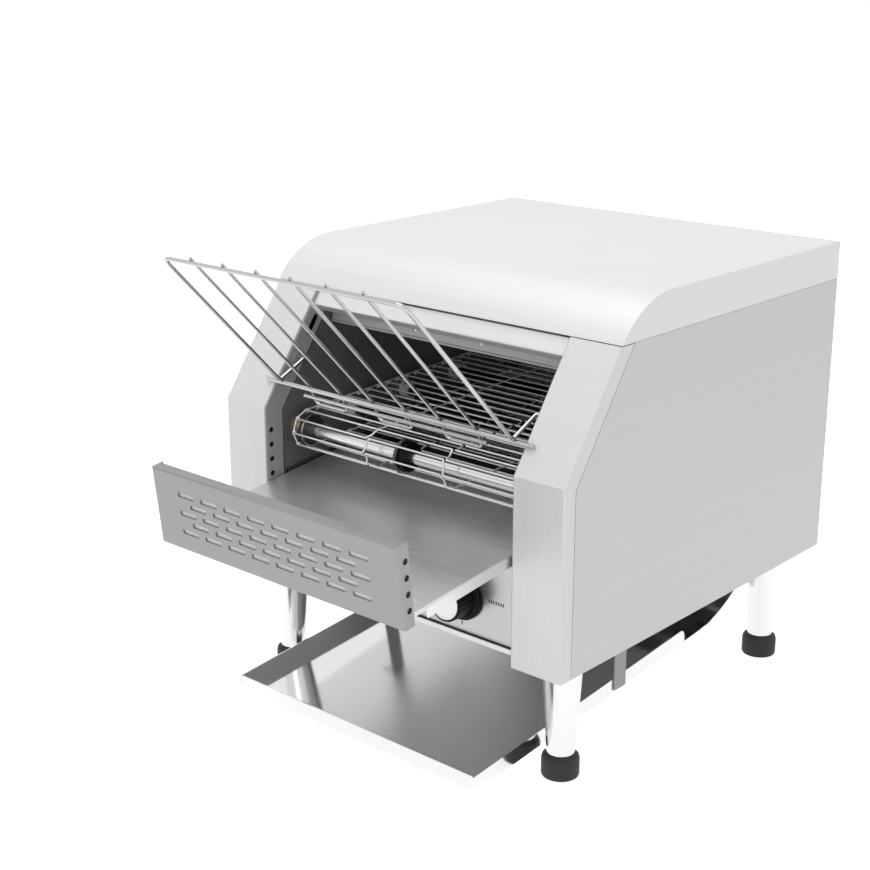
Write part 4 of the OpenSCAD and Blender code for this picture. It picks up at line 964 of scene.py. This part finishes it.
class TOASTER_OT_tray(bpy.types.Operator):
    """Pale liner behind the slots of the tray's front, and dark braces in its corners that paint shade into
    the holes of its sides
    """
    bl_idname = "toaster.tray"
    bl_label = "Tray front"

    def execute(self, context):
        settings = context.scene.toaster_tray
        axes = {joint["name"]: joint["axis"] for joint in frame["record"]["behaviour"]["joints"]}
        out = Vector(axes["tray_slide"]).normalized()
        up = Vector((0, out.z, -out.y))
        vertices = [v.co for v in frame["nodes"]["tray_front"].data.vertices]
        depths, heights = [v.dot(out) for v in vertices], [v.dot(up) for v in vertices]
        edge = (settings.sheet + settings.gap) * MM
        half, front = max(v.x for v in vertices) - edge, max(depths) - edge
        low, high = min(heights) + edge, max(heights) - edge
        self.add_liner(settings, out, up, half, front, low, high)
        self.add_shade_braces(settings, out, up, half, front, min(depths) + settings.gap * MM, low, high)
        return {"FINISHED"}

    def add_liner(self, settings, out, up, half, front, low, high):
        """Sheet across the box with its upper and lower edges turned back."""
        thick, hem = settings.lining * MM, settings.hem * MM
        side = half - 2 * thick
        outline = [(front, low), (front, high), (front - hem, high), (front - hem, high - thick),
                   (front - thick, high - thick), (front - thick, low + thick), (front - hem, low + thick),
                   (front - hem, low)]
        left = Vector((-side, 0, 0))
        mesh = prism_mesh("liner", [out * d + up * h + left for d, h in outline], -2 * left)
        liner = add_object("tray_front_liner", mesh)
        finish_piece(liner, "toast_tray", "liner sheet")

    def add_shade_braces(self, settings, out, up, half, front, back, low, high):
        """Angle behind the liner in each corner, in near-black sheet: painted shade seen through the holes in
        the front's sides.
        """
        thick, gap = settings.lining * MM, settings.gap * MM
        ahead, inner = front - thick - gap, half - settings.brace * MM
        base, top = low + thick + gap, high - thick - gap
        outline = [(half, back), (half, ahead), (inner, ahead), (inner, ahead - thick),
                   (half - thick, ahead - thick), (half - thick, back)]
        meshes = []
        for sign in (-1, 1):
            foot = [Vector((sign * x, 0, 0)) + out * d + up * base for x, d in outline]
            meshes.append(prism_mesh("brace", foot, up * (top - base)))
        braces = add_object("tray_corner_braces", joined("tray_corner_braces", meshes))
        # dark sheet here is painted shade behind the side holes
        finish_piece(braces, "toast_tray", "dark sheet")


class TOASTER_OT_stand(bpy.types.Operator):
    """Turned legs with their rubber feet"""
    bl_idname = "toaster.stand"
    bl_label = "Legs and feet"

    def execute(self, context):
        settings = context.scene.toaster_stand
        legs, feet = islands("legs"), islands("rubber_feet")
        places = [Vector(((low.x + high.x) / 2, (low.y + high.y) / 2, 0)) for low, high in legs]
        flange, foot = ((high.x - low.x) / 2 / MM for low, high in (legs[0], feet[0]))
        foot_top = feet[0][1].z / MM
        self.add_legs(settings, places, flange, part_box("base_plate")[0].z / MM - settings.seam, foot_top)
        self.add_feet(settings, places, foot, foot_top)
        return {"FINISHED"}

    def add_legs(self, settings, places, flange, top, foot_top):
        """Legs that taper from a flange down to the foot, with a stud at each end; sizes in millimetres."""
        narrow, wide, stud = settings.ankle / 2, flange - settings.flange_step, settings.stud / 2
        low_end, high_end = foot_top - settings.stud_sunk, top + settings.stud_reach
        profile = from_mm([
            (0, low_end), (stud, low_end), (stud, foot_top), (narrow - 0.8, foot_top),
            (narrow, foot_top + 0.8), (narrow + 0.3, foot_top + 4), (wide, top - 3.6), (wide + 0.2, top - 3),
            (flange - 0.5, top - 3), (flange, top - 2.5), (flange, top - 0.4), (flange - 0.4, top),
            (stud, top), (stud, high_end), (0, high_end),
        ])
        leg = lathe_mesh("leg", profile, ORIGIN, segments=72, degrees=25)
        legs = place_copies("turned_legs", leg, places, "turned steel", degrees=25)
        finish_piece(legs, "cabinet", "turned steel", ("legs",))

    def add_feet(self, settings, places, radius, top):
        """Rubber feet with a socket for the leg's stud; sizes in millimetres."""
        socket, floor = settings.stud / 2 + 0.1, top - settings.stud_sunk - 0.2
        profile = from_mm([
            (0, 0), (radius - 2, 0), (radius - 0.6, 0.5), (radius, 1.8), (radius, top - 5),
            (radius - 0.8, top - 2.4), (radius - 3.4, top - 0.1), (socket, top - 0.1), (socket, floor),
            (0, floor),
        ])
        foot = lathe_mesh("foot", profile, ORIGIN, segments=64, degrees=30)
        feet = place_copies("soft_feet", foot, places, "rubber", degrees=30)
        finish_piece(feet, "cabinet", "rubber", ("rubber_feet",))


class TOASTER_OT_heaters(bpy.types.Operator):
    """Wire coils inside the quartz tubes"""
    bl_idname = "toaster.heaters"
    bl_label = "Heater coils"

    def execute(self, context):
        settings = context.scene.toaster_heaters
        for node in ("upper_heater_tubes", "lower_heater_tubes"):
            tubes = islands(node)
            length = tubes[0][1].x - tubes[0][0].x - 2 * settings.end * MM
            places = [Vector((-length / 2, (a.y + b.y) / 2, (a.z + b.z) / 2)) for a, b in tubes]
            tree = bpy.data.node_groups.get("coils on points") or coil_tree()
            coils = run_tree(node.replace("tubes", "coils"), places, tree, {
                "Turns": length / (settings.coil_pitch * MM), "Length": length,
                "Radius": settings.coil * MM / 2, "Wire Radius": settings.coil_wire * MM / 2,
                "Material": material_named("resistance wire")})
            finish_piece(coils, "cabinet", "resistance wire")
        return {"FINISHED"}


class TOASTER_OT_knobs(bpy.types.Operator):
    """Fluted control knobs with their discs and dial marks"""
    bl_idname = "toaster.knobs"
    bl_label = "Knobs and dials"

    def execute(self, context):
        settings = context.scene.toaster_knobs
        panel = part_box("control_panel")[0].y
        places = []
        for name, body in (("speed_knob", "speed_control"), ("heat_knob", "heat_control")):
            low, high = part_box(name)
            middle = middle_of(name)
            middle.y = panel
            places.append(middle)
            out = (panel - low.y) / MM
            self.add_knob(settings, name, body, middle, out, (high.y - panel) / MM)
            self.add_disc(settings, name + "_face", body, middle, out)
        self.add_marks(settings, places)
        return {"FINISHED"}

    def add_knob(self, settings, name, body, middle, out, reach):
        """Skirt, fluted grip with its two lugs, and the spindle behind; sizes in millimetres."""
        skirt, grip, spindle = half_width_mm(name), settings.grip / 2, settings.spindle / 2
        seat, floor = half_width_mm(name + "_face") + 0.05, out - settings.disc_thickness - 0.05
        profile = from_mm([
            (0, -reach), (spindle, -reach), (spindle, 0.3), (skirt - 0.8, 0.3), (skirt, 1.1), (skirt, 2.6),
            (skirt - 0.3, 3.4), (skirt - 1, 3.9), (grip + 0.6, 4.3), (grip, 5), (grip, 6.5, 1),
            (grip - 0.2, out - 2.5, 1), (grip - 0.3, out - 1), (grip - 0.6, out - 0.3), (grip - 1.2, out),
            (seat, out), (seat, floor), (0, floor),
        ])
        knob = lathe_mesh(name, profile, middle, (0, -1, 0), 6 * settings.flutes, 30, settings.flutes,
                          settings.flute_depth * MM)
        lug_half, lug_back = (out - 9) / 2, 6
        lugs = block_mesh("lugs", Vector((7, 2 * lug_half, 2 * (grip + 1))) * MM, 1.2 * MM, 3)
        lugs.transform(Matrix.Translation(middle - Vector((0, lug_back + lug_half, 0)) * MM))
        whole = joined(name, (knob, lugs))
        smooth_by_angle(whole, 30)
        finish_piece(add_object(name + "_grip", whole), body, "black plastic", (name,))

    def add_disc(self, settings, name, body, middle, out):
        """Dished silver disc in the knob's front; sizes in millimetres."""
        radius, base, dish = half_width_mm(name), out - settings.disc_thickness, out - 0.5
        profile = from_mm([
            (0, base), (radius, base), (radius, out - 0.4), (radius - 0.4, out), (radius - 1.6, out),
            (radius - 2, out - 0.3), (2, dish), (0, dish),
        ])
        disc = lathe_mesh(name, profile, middle, (0, -1, 0), 72, 25)
        finish_piece(add_object(name + "_disc", disc), body, "knob disc", (name,))

    def add_marks(self, settings, places):
        """Marks round both knobs, and a row of bars beside the first."""
        points, turns = [], []
        for middle in places:
            for k in range(settings.marks):
                a = 2 * math.pi * k / settings.marks
                points.append(middle + Vector((math.sin(a), 0, math.cos(a))) * settings.mark_radius * MM)
                turns.append(Vector((0, a, 0)))
        for k in range(settings.bars):
            aside = settings.bar_offset + k * settings.bar_step
            points.append(places[0] + Vector((aside, 0, settings.bar_rise)) * MM)
            turns.append(ORIGIN)
        ink = 0.1
        mark = block_mesh("mark", Vector((settings.mark_width, ink, settings.mark_length)) * MM, 0.03 * MM, 1)
        marks = place_copies("dial_marks", mark, points, "dial ink", turns, 20)
        finish_piece(marks, "cabinet", "dial ink")


# Screws: their node, the axis and sense in which their heads face, and the turn about X that faces them so.
SCREWS = (("guard_screws", 1, -1, 90), ("rear_screws", 1, 1, -90), ("hanger_screws", 2, -1, 180))


class TOASTER_OT_fittings(bpy.types.Operator):
    """Cross-head screws, ribbed cord gland, and bright rings round the belt's wheels that paint their edge
    highlight
    """
    bl_idname = "toaster.fittings"
    bl_label = "Screws and fittings"

    def execute(self, context):
        settings = context.scene.toaster_fittings
        for node, axis, sense, degrees in SCREWS:
            self.add_screws(settings, node, axis, sense, math.radians(degrees))
        self.add_gland(settings)
        for name in ("front", "rear"):
            self.add_highlight_rims(settings, name)
        return {"FINISHED"}

    def add_screws(self, settings, node, axis, sense, turn):
        screws = islands(node)
        low, high = screws[0]
        rise = settings.screw_rise * MM
        screw = self.screw_mesh(settings, (high[axis] - low[axis] - rise) / MM)
        places = []
        for low, high in screws:
            place = (low + high) / 2
            place[axis] = high[axis] - rise if sense > 0 else low[axis] + rise
            places.append(place)
        turns = [Vector((turn, 0, 0))] * len(places)
        piece = place_copies(node + "_cross", screw, places, "turned steel", turns, 30)
        finish_piece(piece, "cabinet", "turned steel", (node,))

    def screw_mesh(self, settings, shank):
        """Domed head with a cross cut into it, its seat at the origin; sizes in millimetres."""
        head, rise, stem = settings.screw_head / 2, settings.screw_rise, settings.screw_shank / 2
        arm, half, depth = settings.cross_arm / 2, settings.cross / 2, settings.cross_depth
        ball = 2 * head
        radii = [head * k / 4 for k in range(4, -1, -1)]
        dome = [(r, rise - ball + math.sqrt(ball * ball - r * r)) for r in radii]
        stub = [(0, -shank), (stem, -shank), (stem, 0)] if shank > 0.1 else [(0, 0)]
        body = lathe_mesh("screw", from_mm(stub + [(head, 0)] + dome), ORIGIN, segments=36, degrees=30)
        outline = [(arm, half), (-arm, half), (-arm, arm), (-half, arm), (-half, -arm), (-arm, -arm),
                   (-arm, -half), (arm, -half), (arm, -arm), (half, -arm), (half, arm), (arm, arm)]
        floor = [Vector((x, y, rise - depth)) * MM for x, y in outline]
        cutter = add_object("cross", prism_mesh("cross", floor, (0, 0, 2 * depth * MM), None))
        holder = add_object("screw", body)
        cut = holder.modifiers.new("cross", "BOOLEAN")
        cut.operation, cut.solver, cut.object = "DIFFERENCE", "EXACT", cutter
        mesh = baked(holder)
        for item in (cutter, holder):
            bpy.data.objects.remove(item)
        return mesh

    def add_gland(self, settings):
        """Threaded gland with a ribbed cap, open along its bore; sizes in millimetres."""
        place = middle_of("cord_gland")
        place.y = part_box("rear_panel")[1].y
        inner, outer = ((corner.y - place.y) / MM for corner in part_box("cord_gland"))
        bore, thread, cap = settings.gland_bore / 2, settings.gland_thread / 2, settings.gland_cap / 2
        flange = half_width_mm("cord_gland")
        profile = from_mm([
            (bore, inner), (thread, inner), (thread, 0.3), (flange - 0.3, 0.3), (flange, 0.6), (flange, 3.4),
            (flange - 0.6, 4), (cap, 4), (cap, 4.4, 1), (cap, outer - 1.6, 1), (cap - 0.6, outer - 0.6),
            (cap - 1.4, outer), (bore + 0.6, outer), (bore, outer - 0.6), (bore, inner),
        ])
        ribs = settings.gland_ribs
        gland = lathe_mesh("gland", profile, place, (0, 1, 0), 8 * ribs, 30, ribs, settings.rib_depth * MM)
        piece = add_object("ribbed_gland", gland)
        finish_piece(piece, "cabinet", "black plastic", ("cord_gland",))

    def add_highlight_rims(self, settings, name):
        """A bright band round each belt wheel of a shaft: a painted highlight on the wheel's edge."""
        node = name + "_sprockets"
        low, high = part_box(node)
        middle = middle_of(node)
        half_wheel = settings.wheel / 2
        places = []
        for left, right in islands(node):
            middle.x = right.x - half_wheel * MM if left.x < 0 else left.x + half_wheel * MM
            places.append(middle.copy())
        outer, half = (high.z - low.z) / 2 / MM - settings.highlight_inset, half_wheel + 0.05
        inner = outer - settings.highlight_rim
        profile = from_mm([(inner, -half), (outer, -half), (outer + 0.1, 0), (outer, half), (inner, half),
                           (inner, -half)])
        rim = lathe_mesh("rim", profile, ORIGIN, (1, 0, 0), 64, 30)
        # bright turned steel on the dark wheels: painted highlight
        rims = place_copies(name + "_wheel_rims", rim, places, "turned steel", degrees=30)
        finish_piece(rims, name + "_belt_shaft", "turned steel")


OPERATORS = (TOASTER_OT_stage, TOASTER_OT_finishes, TOASTER_OT_belt, TOASTER_OT_rack, TOASTER_OT_tray,
             TOASTER_OT_stand, TOASTER_OT_heaters, TOASTER_OT_knobs, TOASTER_OT_fittings)


class TOASTER_PT_panel(bpy.types.Panel):
    """Builds the toaster's finish and pieces"""
    bl_label = "Toaster"
    bl_idname = "TOASTER_PT_panel"
    bl_space_type = "VIEW_3D"
    bl_region_type = "UI"
    bl_category = "Toaster"

    def draw(self, context):
        for operator in OPERATORS:
            self.layout.operator(operator.bl_idname)
        for name, group in SETTINGS.items():
            box = self.layout.box()
            for key in group.__annotations__:
                box.prop(getattr(context.scene, name), key)


CLASSES = (*SETTINGS.values(), *OPERATORS, TOASTER_PT_panel)


def register():
    for item in CLASSES:
        bpy.utils.register_class(item)
    for name, group in SETTINGS.items():
        setattr(bpy.types.Scene, name, PointerProperty(type=group))


def unregister():
    for name in SETTINGS:
        delattr(bpy.types.Scene, name)
    for item in reversed(CLASSES):
        bpy.utils.unregister_class(item)


def corners(box):
    """A box as plain lists of numbers."""
    return [list(corner) for corner in box]


def main():
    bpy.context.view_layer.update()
    register()
    for operator in OPERATORS:
        group, name = operator.bl_idname.split(".")
        getattr(getattr(bpy.ops, group), name)()


if __name__ == "__main__":
    main()
